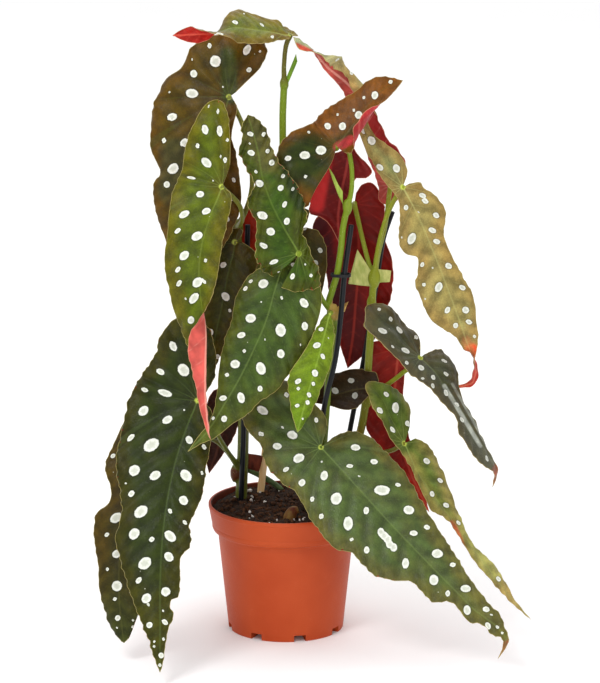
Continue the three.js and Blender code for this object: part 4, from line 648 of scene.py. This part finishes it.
def leaf_spots(blade, flat, pixels, up, margin, veins):
    """Spots as rows of along, across and radius: those seen in the photo, and more where none is."""
    draw = np.random.default_rng(blade.seed + 40)
    turned_away = np.where(up @ np.array(TOWARD_CAMERA) > LEAST_SHOWN, 0, 400)
    found = []
    for x, y, radius in blade.data["spots"]:
        k = int(np.argmin(np.hypot(pixels[:, 0] - x, pixels[:, 1] - y) + turned_away))
        found.append([flat[k][0], flat[k][1], radius])
    seen = len(found)
    reach = FREE_SEEN if seen else FREE_UNSEEN
    for k in draw.permutation(len(flat))[:TRIES]:
        a, c = flat[k]
        if margin[k] < FREE_EDGE or abs(c) < FREE_RIB or veins[k] < FREE_VEIN:
            continue
        gaps = [math.hypot(a - f[0], c - f[1]) for f in found]
        if min(gaps[:seen], default=reach) < reach or min(gaps[seen:], default=FREE_OTHER) < FREE_OTHER:
            continue
        found.append([a, c, min(LARGEST_SPOT, 1.4 + 0.12 * margin[k]) * draw.uniform(0.8, 1.1)])
    return found


def spot_field(blade, spots, along, across):
    """Distance from the nearest spot in radii; spots are stretched a little along the veins."""
    draw = np.random.default_rng(blade.seed)
    field = np.full(len(along), 3.0)
    for a, c, radius in spots:
        if blade.ahead(a, abs(c)) > 0:
            way = math.atan2(math.copysign(1, c), VEIN_SLOPE + 2 * VEIN_CURVE * abs(c))
        else:
            way = math.atan2(c, a)
        stretch = math.sqrt(draw.uniform(1.05, blade.data["stretch"])) if radius > ROUND_UNDER else 1
        u = (along - a) * math.cos(way) + (across - c) * math.sin(way)
        v = (across - c) * math.cos(way) - (along - a) * math.sin(way)
        field = np.minimum(field, np.hypot(u / (stretch * radius), v * stretch / radius))
    return field


def shell(top, bottom, rings):
    """Closed thin blade from its upper side's faces, and the kind of each face: upper, lower or rim."""
    count = len(top)
    edges = dict.fromkeys(edge for ring in rings for edge in zip(ring, ring[1:] + ring[:1]))
    under = [[q + count for q in reversed(ring)] for ring in rings]
    rim = [[b, a, a + count, b + count] for a, b in edges if (b, a) not in edges]
    kinds = [0] * len(rings) + [1] * len(under) + [2] * len(rim)
    return (np.vstack([top, bottom]), rings + under + rim), kinds


def build_leaf(blade):
    """Fine two sided blade with its own patterns stored on its points."""
    data = blade.data
    grids = []
    lines = [blade.outline(data[side]) for side in ("narrow", "wide")]
    for line in lines:
        inner, outer = blade.rows(line)
        share = np.linspace(0, 1, STRIPS + 1)[None, :, None]
        grids.append(inner[:, None, :] * (1 - share) + outer[:, None, :] * share)
    flat = np.vstack([g.reshape(-1, 2) for g in grids])
    _, first, where = np.unique(np.round(flat, 3), axis=0, return_index=True, return_inverse=True)
    flat = flat[first]
    where = where.reshape(-1)
    margin = np.minimum(*[far_from(flat, line) for line in lines])
    rings = []
    start = 0
    for side, grid in enumerate(grids):
        rows, cols = grid.shape[:2]
        ids = where[start:start + rows * cols].reshape(rows, cols)
        start += rows * cols
        corners = [ids[:-1, :-1], ids[1:, :-1], ids[1:, 1:], ids[:-1, 1:]]
        quads = np.stack(corners, axis=-1).reshape(-1, 4)
        if (side == 1) != (data["mirror"] == 1):
            quads = quads[:, ::-1]
        rings += [[int(q) for k, q in enumerate(quad) if q != quad[k - 1]] for quad in quads]
    rings = [ring for ring in rings if len(ring) > 2]
    along, across = flat[:, 0], flat[:, 1]
    point, up = blade.at(along, across)
    veins = blade.vein_gap(along, across)
    rib = np.where(along > 0, np.abs(across), np.hypot(along, across))
    inside = np.clip(margin / EDGE_FADE, 0, 1)
    quilt = data["quilt"] * (1 - np.exp(-(np.minimum(veins, rib) / CELL_RISE) ** 2)) * inside
    point = point + up * (quilt - data["quilt"] / 2)[:, None]
    ruffle = (data["ruffle"] or PLAIN_RUFFLE) * np.exp(-(margin / RUFFLE_FADE) ** 2)
    ripple = np.sin(RUFFLE_WAVE[0] * along + RUFFLE_WAVE[1] * across + blade.seed)
    point = point + up * (ruffle * ripple)[:, None]
    half = (HALF_EDGE + (HALF_BLADE - HALF_EDGE) * inside)[:, None]
    shape, kinds = shell(point + up * half, point - up * half, rings)
    mesh = piece(blade.name + "_blade", shape, [leaf_top(blade), leaf_under(blade), leaf_rim(blade)],
        [blade.name], kinds).data
    pixels = project(point)
    spots = leaf_spots(blade, flat, pixels, up, margin, veins)
    layers = {"spot": spot_field(blade, spots, along, across), "vein": veins, "rib": rib, "margin": margin,
        "joint": np.hypot(along, across), "tip": np.clip(along / blade.length, -0.5, 1)}
    for k, (x1, y1, x2, y2, _, _, reach) in enumerate(data["strokes"]):
        layers[f"mark_{k}"] = far_from(pixels, np.array([[x1, y1], [x2, y2]], float)) / reach
    for name, values in layers.items():
        mesh.attributes.new(name, "FLOAT", "POINT").data.foreach_set("value", np.tile(values, 2))
    plane = np.stack([along, across, 0 * along + 7 * blade.seed], axis=1)
    layer = mesh.attributes.new("flat", "FLOAT_VECTOR", "POINT")
    layer.data.foreach_set("vector", np.tile(plane, (2, 1)).ravel())
    mesh.update()


def rgba(colour):
    """Linear colour from display values of 0 to 255; anything but a tuple stays as it is."""
    if not isinstance(colour, tuple):
        return colour
    shares = [value / 255 for value in colour]
    return (*[s / 12.92 if s <= 0.04045 else ((s + 0.055) / 1.055) ** 2.4 for s in shares], 1)


def darker(colour, share):
    return tuple(int(c * share) for c in colour)


class Nodes:
    """Short way to build a node material."""
    def __init__(self, name):
        self.material = bpy.data.materials.new(name)
        self.material.use_nodes = True
        self.tree = self.material.node_tree
        self.shader = self.tree.nodes["Principled BSDF"]

    def node(self, kind, settings=(), **inputs):
        node = self.tree.nodes.new(kind)
        for key, value in dict(settings).items():
            setattr(node, key, value)
        for key, value in inputs.items():
            self.feed(node, int(key[2:]) if key.startswith("in") else key, value)
        return node

    def feed(self, node, key, value):
        if isinstance(value, bpy.types.NodeSocket):
            self.tree.links.new(value, node.inputs[key])
        else:
            node.inputs[key].default_value = value

    def attribute(self, name, output="Fac"):
        return self.node("ShaderNodeAttribute", {"attribute_name": name}).outputs[output]

    def math(self, operation, a, b):
        return self.node("ShaderNodeMath", {"operation": operation}, in0=a, in1=b).outputs[0]

    def times(self, a, b):
        return self.math("MULTIPLY", a, b)

    def step(self, value, low, high, start=0.0, end=1.0):
        """start below low, end above high, smooth between."""
        settings = {"interpolation_type": "SMOOTHSTEP"}
        node = self.node("ShaderNodeMapRange", settings, in0=value, in1=low, in2=high, in3=start, in4=end)
        return node.outputs[0]

    def mix(self, share, a, b, blend="MIX"):
        settings = {"data_type": "RGBA", "blend_type": blend}
        return self.node("ShaderNodeMix", settings, in0=share, in6=rgba(a), in7=rgba(b)).outputs[2]

    def noise(self, vector, scale, detail=3.0, rough=0.5):
        inputs = {"Vector": vector, "Scale": scale, "Detail": detail, "Roughness": rough}
        return self.node("ShaderNodeTexNoise", {}, **inputs).outputs["Fac"]

    def cells(self, vector, scale, feature="F1", output="Distance"):
        node = self.node("ShaderNodeTexVoronoi", {"feature": feature}, Scale=scale, Vector=vector)
        return node.outputs[output]

    def place(self):
        return self.node("ShaderNodeTexCoord").outputs["Object"]

    def stretched(self, scale):
        return self.node("ShaderNodeMapping", {}, Vector=self.place(), Scale=scale).outputs[0]

    def paint(self, colour, strokes):
        """Soft marks of other colours, of painted shade and of painted highlight, held as mark_0 and on in
        the mesh.
        """
        for k, (*_, hue, strength, _) in enumerate(strokes):
            colour = self.mix(self.step(self.attribute(f"mark_{k}"), 0.55, 1.3, strength, 0.0), colour, hue)
        return colour

    def finish(self, colour, rough, sheen, fine, relief, strength, depth):
        """Colour, a roughness that a fine noise varies a little, sheen and relief."""
        self.feed(self.shader, "Base Color", colour)
        self.feed(self.shader, "Roughness", self.step(fine, 0.2, 0.8, rough - 0.07, rough + 0.07))
        self.feed(self.shader, "Specular IOR Level", sheen)
        bump = self.node("ShaderNodeBump", {}, Strength=strength, Distance=depth, Height=relief)
        self.feed(self.shader, "Normal", bump.outputs[0])
        return self.material


def leaf_top(blade):
    """Upper side of a leaf: green, bronze towards its rim, painted shade along the veins with painted light
    on the cells between, pale spots, fine veins and a pale thin margin.
    """
    heart, rim_colour, vein, tip = blade.data["looks"][:4]
    n = Nodes(blade.name + "_upper")
    flat = n.attribute("flat", "Vector")
    wide = n.noise(flat, 0.045)
    cloud = n.noise(flat, 0.1, 5, 0.6)
    fine = n.noise(flat, 0.5, 4)
    cell = n.cells(flat, 0.55, "DISTANCE_TO_EDGE")
    margin, joint, rib, veins = [n.attribute(name) for name in ("margin", "joint", "rib", "vein")]
    edge = n.math("ADD", margin, n.times(n.math("SUBTRACT", wide, 0.5), 22.0))
    colour = n.mix(n.step(edge, 2.0, 15.0, 1.0, 0.0), heart, rim_colour)
    if tip:
        colour = n.mix(n.step(n.attribute("tip"), 0.55, 1.0), colour, tip)
    colour = n.paint(colour, blade.data["strokes"])
    colour = n.mix(n.step(wide, 0.5, 0.7, 0.0, 0.28), colour, rim_colour)
    # Painted shade in the vein grooves and painted light on the raised cells between them, times darker and
    # lighter patches of a cloud noise.
    shade = n.times(n.step(cloud, 0.3, 0.66, 0.66, 1.22), n.step(veins, 0.0, 5.0, 0.8, 1.12))
    colour = n.mix(1.0, colour, shade, "MULTIPLY")
    colour = n.mix(n.step(cell, 0.0, 0.12, 0.2, 0.0), colour, (22, 32, 8))
    near = n.step(joint, 3.0, 26.0, 0.5, 0.22)
    colour = n.mix(n.times(n.step(veins, 0.1, 0.6, 1.0, 0.0), n.times(near, 0.6)), colour, vein)
    colour = n.mix(n.times(n.step(rib, 0.25, 0.9, 1.0, 0.0), near), colour, vein)
    if blade.data["joint"]:
        colour = n.mix(n.step(joint, 1.2, 2.8, 0.9, 0.0), colour, (190, 204, 84))
    spot = n.math("ADD", n.attribute("spot"), n.times(n.math("SUBTRACT", fine, 0.5), 0.3))
    colour = n.mix(n.step(spot, 1.02, 1.3, 0.5, 0.0), colour, (18, 24, 6))
    pale = n.mix(n.step(spot, 0.3, 0.8), (200, 203, 188), (230, 232, 221))
    pale = n.mix(n.step(fine, 0.35, 0.6, 0.35, 0.0), pale, (178, 182, 168))
    some = n.step(n.cells(flat, 0.1, "F1", "Color"), 0.5, 0.56)
    speck = n.step(n.cells(flat, 0.1), 0.03, 0.045, 0.7, 0.0)
    colour = n.mix(n.times(speck, some), colour, (214, 214, 190))
    colour = n.mix(n.step(spot, 0.92, 1.04, 1 - blade.data["dull"], 0.0), colour, pale)
    colour = n.mix(n.step(margin, 0.2, 0.5, 0.7, 0.0), colour, (180, 164, 98))
    relief = n.math("ADD", n.times(n.step(cell, 0.0, 0.3), 0.5), n.times(fine, 0.5))
    return n.finish(colour, 0.37, blade.data["sheen"], fine, relief, 0.4, 0.0004)


def leaf_under(blade):
    """Underside of a leaf: crimson with paler raised veins."""
    body, vein = blade.data["looks"][4:]
    n = Nodes(blade.name + "_under")
    flat = n.attribute("flat", "Vector")
    fine = n.noise(flat, 0.6, 4)
    colour = n.mix(n.step(n.noise(flat, 0.06), 0.3, 0.7), darker(body, 0.75), body)
    if blade.data["red_side"]:
        colour = n.paint(colour, blade.data["strokes"])
    colour = n.mix(0.3, colour, n.mix(fine, (90, 20, 14), (230, 110, 90)), "SOFT_LIGHT")
    colour = n.mix(n.step(n.attribute("vein"), 0.1, 0.9, 0.2, 0.0), colour, vein)
    colour = n.mix(n.step(n.attribute("rib"), 0.4, 1.4, 0.6, 0.0), colour, vein)
    colour = n.mix(n.step(n.attribute("margin"), 0.2, 0.6, 0.7, 0.0), colour, (214, 140, 110))
    return n.finish(colour, 0.47, 0.15, fine, fine, 0.3, 0.0003)


def leaf_rim(blade):
    n = Nodes(blade.name + "_rim")
    fine = n.noise(n.attribute("flat", "Vector"), 0.4, 2)
    n.feed(n.shader, "Base Color", n.mix(fine, RIM_COLOUR, darker(RIM_COLOUR, 0.8)))
    n.feed(n.shader, "Roughness", 0.5)
    return n.material


def cane_material(name, low, high, z_low, z_high, blush, scars):
    """Smooth green cane: colour changes with height, reddish blush, short pale dashes and dry knuckles."""
    n = Nodes(name + "_skin")
    place = n.place()
    height = n.node("ShaderNodeSeparateXYZ", in0=place).outputs[2]
    colour = n.mix(n.step(height, z_low * MM, z_high * MM), low, high)
    colour = n.mix(n.step(n.noise(place, 55), 0.55, 0.75, 0.0, 0.5), colour, blush)
    for *scar, reach, dry in scars:
        away = n.node("ShaderNodeVectorMath", {"operation": "DISTANCE"}, in0=place, in1=Vector(scar) * MM)
        colour = n.mix(n.step(away.outputs["Value"], 0.7 * reach * MM, reach * MM, 0.9, 0.0), colour, dry)
    dash = n.cells(n.stretched((900, 900, 260)), 1.0)
    colour = n.mix(n.step(dash, 0.12, 0.22, 0.35, 0.0), colour, (206, 212, 150))
    fine = n.noise(place, 900)
    colour = n.mix(0.25, colour, n.mix(fine, (60, 60, 20), (210, 215, 140)), "SOFT_LIGHT")
    return n.finish(colour, 0.41, 0.25, fine, fine, 0.25, 0.0003)


def plain_material(name, dark, pale, scale, rough, bump=0.4, depth=0.0004, stretch=(1, 1, 1), detail=5.0):
    """Two tones mixed by noise, with a fine relief of the same noise."""
    n = Nodes(name)
    fine = n.noise(n.stretched(stretch), scale, detail, 0.6)
    return n.finish(n.mix(n.step(fine, 0.3, 0.7), dark, pale), rough, 0.25, fine, fine, bump, depth)


def pot_material():
    """Terracotta plastic: scuffed low down, turned rings, and painted shade that darkens the inner wall over
    the soil.
    """
    n = Nodes("terracotta_plastic")
    place = n.place()
    x, y, z = n.node("ShaderNodeSeparateXYZ", in0=place).outputs
    colour = n.mix(n.step(n.noise(place, 22), 0.3, 0.7), (172, 64, 22), (182, 73, 30))
    scuff = n.times(n.step(n.noise(place, 90, 5, 0.7), 0.6, 0.78), n.step(z, 0.0, 0.03, 0.3, 0.06))
    colour = n.mix(scuff, colour, (214, 138, 106))
    # Painted shade: the inner wall above the soil is coloured dark brown where shade falls inside the pot.
    across = n.math("POWER", n.math("ADD", n.times(x, x), n.times(y, y)), 0.5)
    inner = n.math("SUBTRACT", across, n.times(z, WALL_TAPER))
    inner_wall_shade = n.times(n.step(inner, 0.0486, 0.049, 0.8, 0.0), n.step(z, 0.083, 0.085))
    colour = n.mix(inner_wall_shade, colour, (62, 28, 20))
    fine = n.noise(place, 700, 4, 0.6)
    rings = n.node("ShaderNodeTexWave", {"bands_direction": "Z"}, Scale=160.0, Distortion=0.4, Vector=place)
    relief = n.math("ADD", n.times(rings.outputs["Fac"], 0.25), fine)
    return n.finish(colour, 0.49, 0.22, fine, relief, 0.22, 0.0003)


def add_object(name, data):
    obj = bpy.data.objects.new(name, data)
    bpy.context.scene.collection.objects.link(obj)
    return obj


def new_mesh(name, shape):
    """Mesh from points in mm and faces."""
    points, faces = shape
    mesh = bpy.data.meshes.new(name)
    mesh.from_pydata((np.asarray(points) * MM).tolist(), [], faces)
    return mesh


def piece(name, shape, materials, nodes, kinds=None, smooth_faces=True):
    """Object of the plant from points in mm and faces; it rides on the root body."""
    mesh = new_mesh(name, shape)
    for material in materials:
        mesh.materials.append(material)
    if kinds:
        mesh.polygons.foreach_set("material_index", kinds)
    mesh.polygons.foreach_set("use_smooth", [smooth_faces] * len(mesh.polygons))
    mesh.update()
    obj = add_object(name, mesh)
    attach(obj, "root")
    if nodes:
        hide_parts(*nodes)
    return obj


def modify(obj, kind, **settings):
    """Apply a modifier to an object's mesh."""
    modifier = obj.modifiers.new(kind.lower(), kind)
    for key, value in settings.items():
        setattr(modifier, key, value)
    baked = bpy.data.meshes.new_from_object(obj.evaluated_get(bpy.context.evaluated_depsgraph_get()))
    obj.modifiers.clear()
    old = obj.data
    obj.data = baked
    bpy.data.meshes.remove(old)


def on_circle(radius, turn, z):
    return [radius * math.cos(turn), radius * math.sin(turn), z]


def turned(points, angle, first=0, second=1):
    """Points turned in the plane of two axes."""
    c, s = math.cos(angle), math.sin(angle)
    matrix = np.eye(3)
    matrix[first, first] = matrix[second, second] = c
    matrix[first, second], matrix[second, first] = s, -s
    return points @ matrix


def join(shapes):
    """One list of points and faces from several."""
    points, faces = [], []
    start = 0
    for p, f in shapes:
        points.append(p)
        faces += [[i + start for i in ring] for ring in f]
        start += len(p)
    return np.vstack(points), faces


def tube(path, radii, sides, step):
    """Points and faces of a round stem along a smooth line, its radius spread evenly from a list."""
    marks = run_along(path)
    rings = max(3, math.ceil(marks[-1] / step))
    centre, way = smooth(path, marks, np.linspace(0, marks[-1], rings + 1))[:2]
    radius = spread(radii, np.linspace(0, 1, rings + 1))
    angle = np.arange(sides) * 2 * math.pi / sides
    reference = np.array([1.0, 0, 0]) if abs(way[0][0]) < 0.9 else np.array([0, 1.0, 0])
    points = []
    for i in range(rings + 1):
        reference = unit(reference - way[i] * (reference @ way[i]))
        ring = np.cos(angle)[:, None] * reference + np.sin(angle)[:, None] * np.cross(way[i], reference)
        points.append(centre[i] + radius[i] * ring)
    faces = []
    for i in range(rings):
        for k in range(sides):
            a, b = i * sides + k, i * sides + (k + 1) % sides
            faces.append([a, b, b + sides, a + sides])
    faces.append(list(range(sides))[::-1])
    faces.append([rings * sides + k for k in range(sides)])
    return np.vstack(points), faces


def swelling(x, y, z, radius):
    """Knuckle of a cane."""
    path = [[x, y, z + share * radius] for share in (-1.5, -0.5, 0.5, 1.5)]
    return tube(path, [0.55 * radius, 0.97 * radius, 0.97 * radius, 0.55 * radius], 14, 0.8)


def flap(corners, thick=0.35, cells=10):
    """Thin crinkled flap between four corners."""
    a, b, c, d = [np.array(p, float) for p in corners]
    normal = unit(np.cross(b - a, c - a))
    middle, rings = [], []
    for i in range(cells + 1):
        for k in range(cells + 1):
            u, v = i / cells, k / cells
            p = (a * (1 - u) + b * u) * (1 - v) + (d * (1 - u) + c * u) * v
            middle.append(p + normal * (math.sin(math.pi * v) * 1.2 + 0.4 * math.sin(9 * u + 5 * v)))
            if i < cells and k < cells:
                q = i * (cells + 1) + k
                rings.append([q, q + cells + 1, q + cells + 2, q + 1])
    return shell(middle + normal * thick / 2, middle - normal * thick / 2, rings)[0]


def box(size, place):
    x, y, z = [s / 2 for s in size]
    corners = np.array([[a, b, c] for a in (-x, x) for b in (-y, y) for c in (-z, z)]) + np.array(place)
    return corners, [[0, 1, 3, 2], [4, 6, 7, 5], [0, 4, 5, 1], [2, 3, 7, 6], [0, 2, 6, 4], [1, 5, 7, 3]]


def lathe(profile, sides):
    """Shell turned about Z from rows of radius and height."""
    points, faces = [], []
    for k in range(sides):
        points += [on_circle(r, 2 * math.pi * k / sides, z) for r, z in profile]
    count = len(profile)
    for k in range(sides):
        a, b = k * count, (k + 1) % sides * count
        faces += [[a + i, b + i, b + i + 1, a + i + 1] for i in range(count - 1)]
    return np.array(points), faces


def rounded(profile, radius, cuts=4):
    """Profile with each inner corner rounded off."""
    out = [profile[0]]
    for b, c, a in zip(*[np.array(profile[k:], float) for k in range(3)]):
        reach = min(radius, 0.45 * np.linalg.norm(b - c), 0.45 * np.linalg.norm(a - c))
        p, q = c + unit(b - c) * reach, c + unit(a - c) * reach
        for t in np.linspace(0, 1, cuts + 1):
            out.append(list((1 - t) ** 2 * p + 2 * t * (1 - t) * c + t * t * q))
    return out + [profile[-1]]


def build_canes():
    sheaths = {name: plain_material(name, *look, stretch=(1, 1, 0.3)) for name, look in SHEATHS.items()}
    for plan in CANES:
        name = plan["name"]
        x, y, z = plan["path"][0]
        path = [[x, y, z - BURIED]] + plan["path"]
        shapes = [tube(path, np.array(plan["radius"]) + plan["trim"], 16, 1.5)]
        for carried, path in plan["stalks"]:
            middle, normal = BLADES[carried].rib(np.array([0.0]))[:2]
            end = [list(middle[0] - normal[0] * d) for d in STALK_ENDS]
            shapes.append(tube(path + end, STALK_RADII, 12, 1.5))
        shapes += [swelling(*k) for k in plan["knuckles"]]
        skin = cane_material(name, *plan["skin"], plan["scars"])
        obj = piece(name + "_skin", join(shapes), [skin], [name])
        modify(obj, "REMESH", mode="VOXEL", voxel_size=VOXEL * MM, use_smooth_shade=True)
        modify(obj, "SMOOTH", factor=0.5, iterations=4)
        for i, (kind, corners) in enumerate(plan["sheaths"], 1):
            piece(f"{name}_sheath_{i}", flap(corners), [sheaths[kind]], ())


def build_pot():
    obj = piece("pot_shell", lathe(rounded(POT_PROFILE, 0.5), 144), [pot_material()], ["pot"])
    cuts = []
    for i in range(NOTCH["count"]):
        turn = 2 * math.pi * i / NOTCH["count"] - math.pi / 2 + NOTCH["turn"]
        points, faces = box((2 * NOTCH["depth"], NOTCH["width"], 2 * NOTCH["height"]), (BASE_RADIUS, 0, 0))
        cuts.append((turned(points, turn), faces))
    for i in range(DRAIN["count"]):
        x, y, _ = on_circle(DRAIN["ring"], 2 * math.pi * (i + 0.5) / DRAIN["count"], 0)
        cuts.append(tube([[x, y, -3], [x, y, FLOOR + 4]], [DRAIN["radius"]], 24, 4))
    cutter = add_object("pot_cuts", new_mesh("pot_cuts", join(cuts)))
    modify(obj, "BOOLEAN", operation="DIFFERENCE", object=cutter, solver="EXACT")
    bpy.data.objects.remove(cutter)
    obj.data.set_sharp_from_angle(angle=math.radians(32))


def clump(draw, radius):
    """Small irregular lump."""
    mesh = bmesh.new()
    bmesh.ops.create_icosphere(mesh, subdivisions=1, radius=1)
    points = np.array([v.co[:] for v in mesh.verts])
    faces = [[v.index for v in f.verts] for f in mesh.faces]
    mesh.free()
    points *= draw.uniform(0.7, 1.25, (len(points), 1))
    points *= draw.uniform(0.6, 1.3, 3) * radius
    return turned(points, draw.uniform(0, 6.28)), faces


def soil_height(x, y):
    lumps = np.sin(0.21 * x + 1) * np.cos(0.17 * y) + 0.6 * np.sin(0.4 * x - 0.5 * y)
    rough = np.sin(1.9 * x + 0.7 * y) * np.cos(1.3 * y - 0.6 * x) + 0.7 * np.sin(3.1 * x - 2.7 * y)
    return float(SOIL_TOP + SOIL_RISE * (y - SOIL_FRONT) + 1.28 * lumps + 0.35 * rough)


def build_soil():
    draw = np.random.default_rng(7)
    turns = [2 * math.pi * k / SOIL_SIDES for k in range(SOIL_SIDES)]
    points = [[0, 0, soil_height(0, 0)]]
    for i in range(1, SOIL_RINGS + 1):
        for turn in turns:
            x, y, _ = on_circle(SOIL_RADIUS * i / SOIL_RINGS, turn, 0)
            points.append([x, y, soil_height(x, y) + 0.25 * draw.uniform(-1, 1)])
    for r, z in SOIL_WALLS:
        points += [on_circle(r, turn, z) for turn in turns]
    points.append([0, 0, SOIL_WALLS[-1][1]])
    faces = []
    rows = SOIL_RINGS + len(SOIL_WALLS) - 1
    for k in range(SOIL_SIDES):
        a, b = 1 + k, 1 + (k + 1) % SOIL_SIDES
        faces.append([0, a, b])
        for start in range(0, rows * SOIL_SIDES, SOIL_SIDES):
            faces.append([a + start, a + start + SOIL_SIDES, b + start + SOIL_SIDES, b + start])
        faces.append([b + rows * SOIL_SIDES, a + rows * SOIL_SIDES, len(points) - 1])
    earth = plain_material("potting_mix", (18, 11, 7), (64, 42, 26), 520, 0.9, 1.0, 0.0012, detail=8.0)
    piece("soil_bed", (points, faces), [earth], ["soil"])
    stub = plain_material("old_stub", (84, 26, 12), (132, 104, 44), 140, 0.6, stretch=(1, 1, 0.4))
    piece("old_stub", tube(STUB_PATH, STUB_RADII, 18, 1.5), [stub], ())
    stalk = plain_material("low_stalk", (30, 46, 20), (84, 108, 62), 160, 0.5, stretch=(0.4, 1, 1))
    piece("low_stalk", tube(LOW_STALK_PATH, LOW_STALK_RADII, 14, 1.5), [stalk], ())
    bark = plain_material("bark_crumb", (26, 15, 9), (92, 60, 36), 300, 0.9, 0.8)
    perlite = plain_material("perlite", (196, 190, 178), (244, 242, 236), 600, 0.85, 0.8)
    crumbs = (("soil_crumbs", 420, (0.8, 2.6), bark), ("soil_perlite", 46, (0.7, 1.9), perlite))
    for name, count, sizes, material in crumbs:
        bits = []
        for _ in range(count):
            r, turn = CRUMB_REACH * math.sqrt(draw.uniform()), draw.uniform(0, 6.28)
            x, y, _ = on_circle(r, turn, 0)
            lump, rings = clump(draw, draw.uniform(*sizes))
            bits.append((lump + np.array([x, y, soil_height(x, y) + 0.3]), rings))
        piece(name, join(bits), [material], (), smooth_faces=False)


def build_supports():
    coat = plain_material("coated_wire", (4, 7, 10), (14, 20, 25), 240, 0.42, 0.3, stretch=(1, 1, 0.2))
    for name, path in STAKES.items():
        x, y, z = path[0]
        rod = tube([[x, y, z - BURIED]] + path, [STAKE_RADIUS], 20, 3)
        piece(name + "_rod", rod, [coat], [name])
    wood = plain_material("bare_wood", (232, 190, 126), (250, 222, 172), 300, 0.7, 0.5, stretch=(1, 1, 0.08))
    points, faces = box(STICK_SIZE, STICK_MIDDLE)
    points = turned(points, -STICK_LEAN, 0, 2) + np.array(STICK_FOOT)
    stick = piece("label_stick_wood", (points, faces), [wood], ["label_stick"], smooth_faces=False)
    modify(stick, "BEVEL", width=0.3 * MM, segments=3)
    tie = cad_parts["tie_centre"]
    tie.data.materials.clear()
    tie.data.materials.append(plain_material("soft_tie", (20, 20, 22), (44, 44, 46), 500, 0.7))


def build_stage():
    reach = 6000
    corners = [(-reach, -reach, 0), (reach, -reach, 0), (reach, reach, 0), (-reach, reach, 0)]
    floor = add_object("floor", new_mesh("floor", (corners, [(0, 1, 2, 3)])))
    paper = plain_material("floor_paper", (250, 250, 250), (252, 252, 252), 3, 0.9, 0.02)
    floor.data.materials.append(paper)
    world = bpy.data.worlds.new("studio")
    bpy.context.scene.world = world
    world.use_nodes = True
    tree = world.node_tree
    sky = tree.nodes["Background"]
    sky.inputs["Color"].default_value = (1, 1, 1, 1)
    place = tree.nodes.new("ShaderNodeTexCoord")
    height = tree.nodes.new("ShaderNodeSeparateXYZ")
    ramp = tree.nodes.new("ShaderNodeMapRange")
    for socket, value in zip(ramp.inputs[1:5], SKY_RAMP):
        socket.default_value = value
    tree.links.new(place.outputs["Generated"], height.inputs[0])
    tree.links.new(height.outputs[2], ramp.inputs[0])
    tree.links.new(ramp.outputs[0], sky.inputs["Strength"])
    bpy.context.scene.view_settings.view_transform = "Standard"
    for name, place, size, power in LAMPS:
        lamp = bpy.data.lights.new(name, "AREA")
        lamp.size = size
        lamp.energy = power
        obj = add_object(name, lamp)
        obj.location = place
        obj.rotation_euler = (Vector(LAMP_AIM) - Vector(place)).to_track_quat("-Z", "Y").to_euler()
    camera = bpy.data.cameras.new("camera")
    camera.lens = LENS
    camera.sensor_width = FILM
    camera.clip_end = 40
    obj = add_object("camera", camera)
    obj.location = Vector(CAMERA_AT) * MM
    obj.rotation_euler = (math.radians(90 - CAMERA_PITCH), 0, 0)
    bpy.context.scene.camera = obj


build_stage()
for blade in BLADES.values():
    build_leaf(blade)
build_canes()
build_pot()
build_soil()
build_supports()
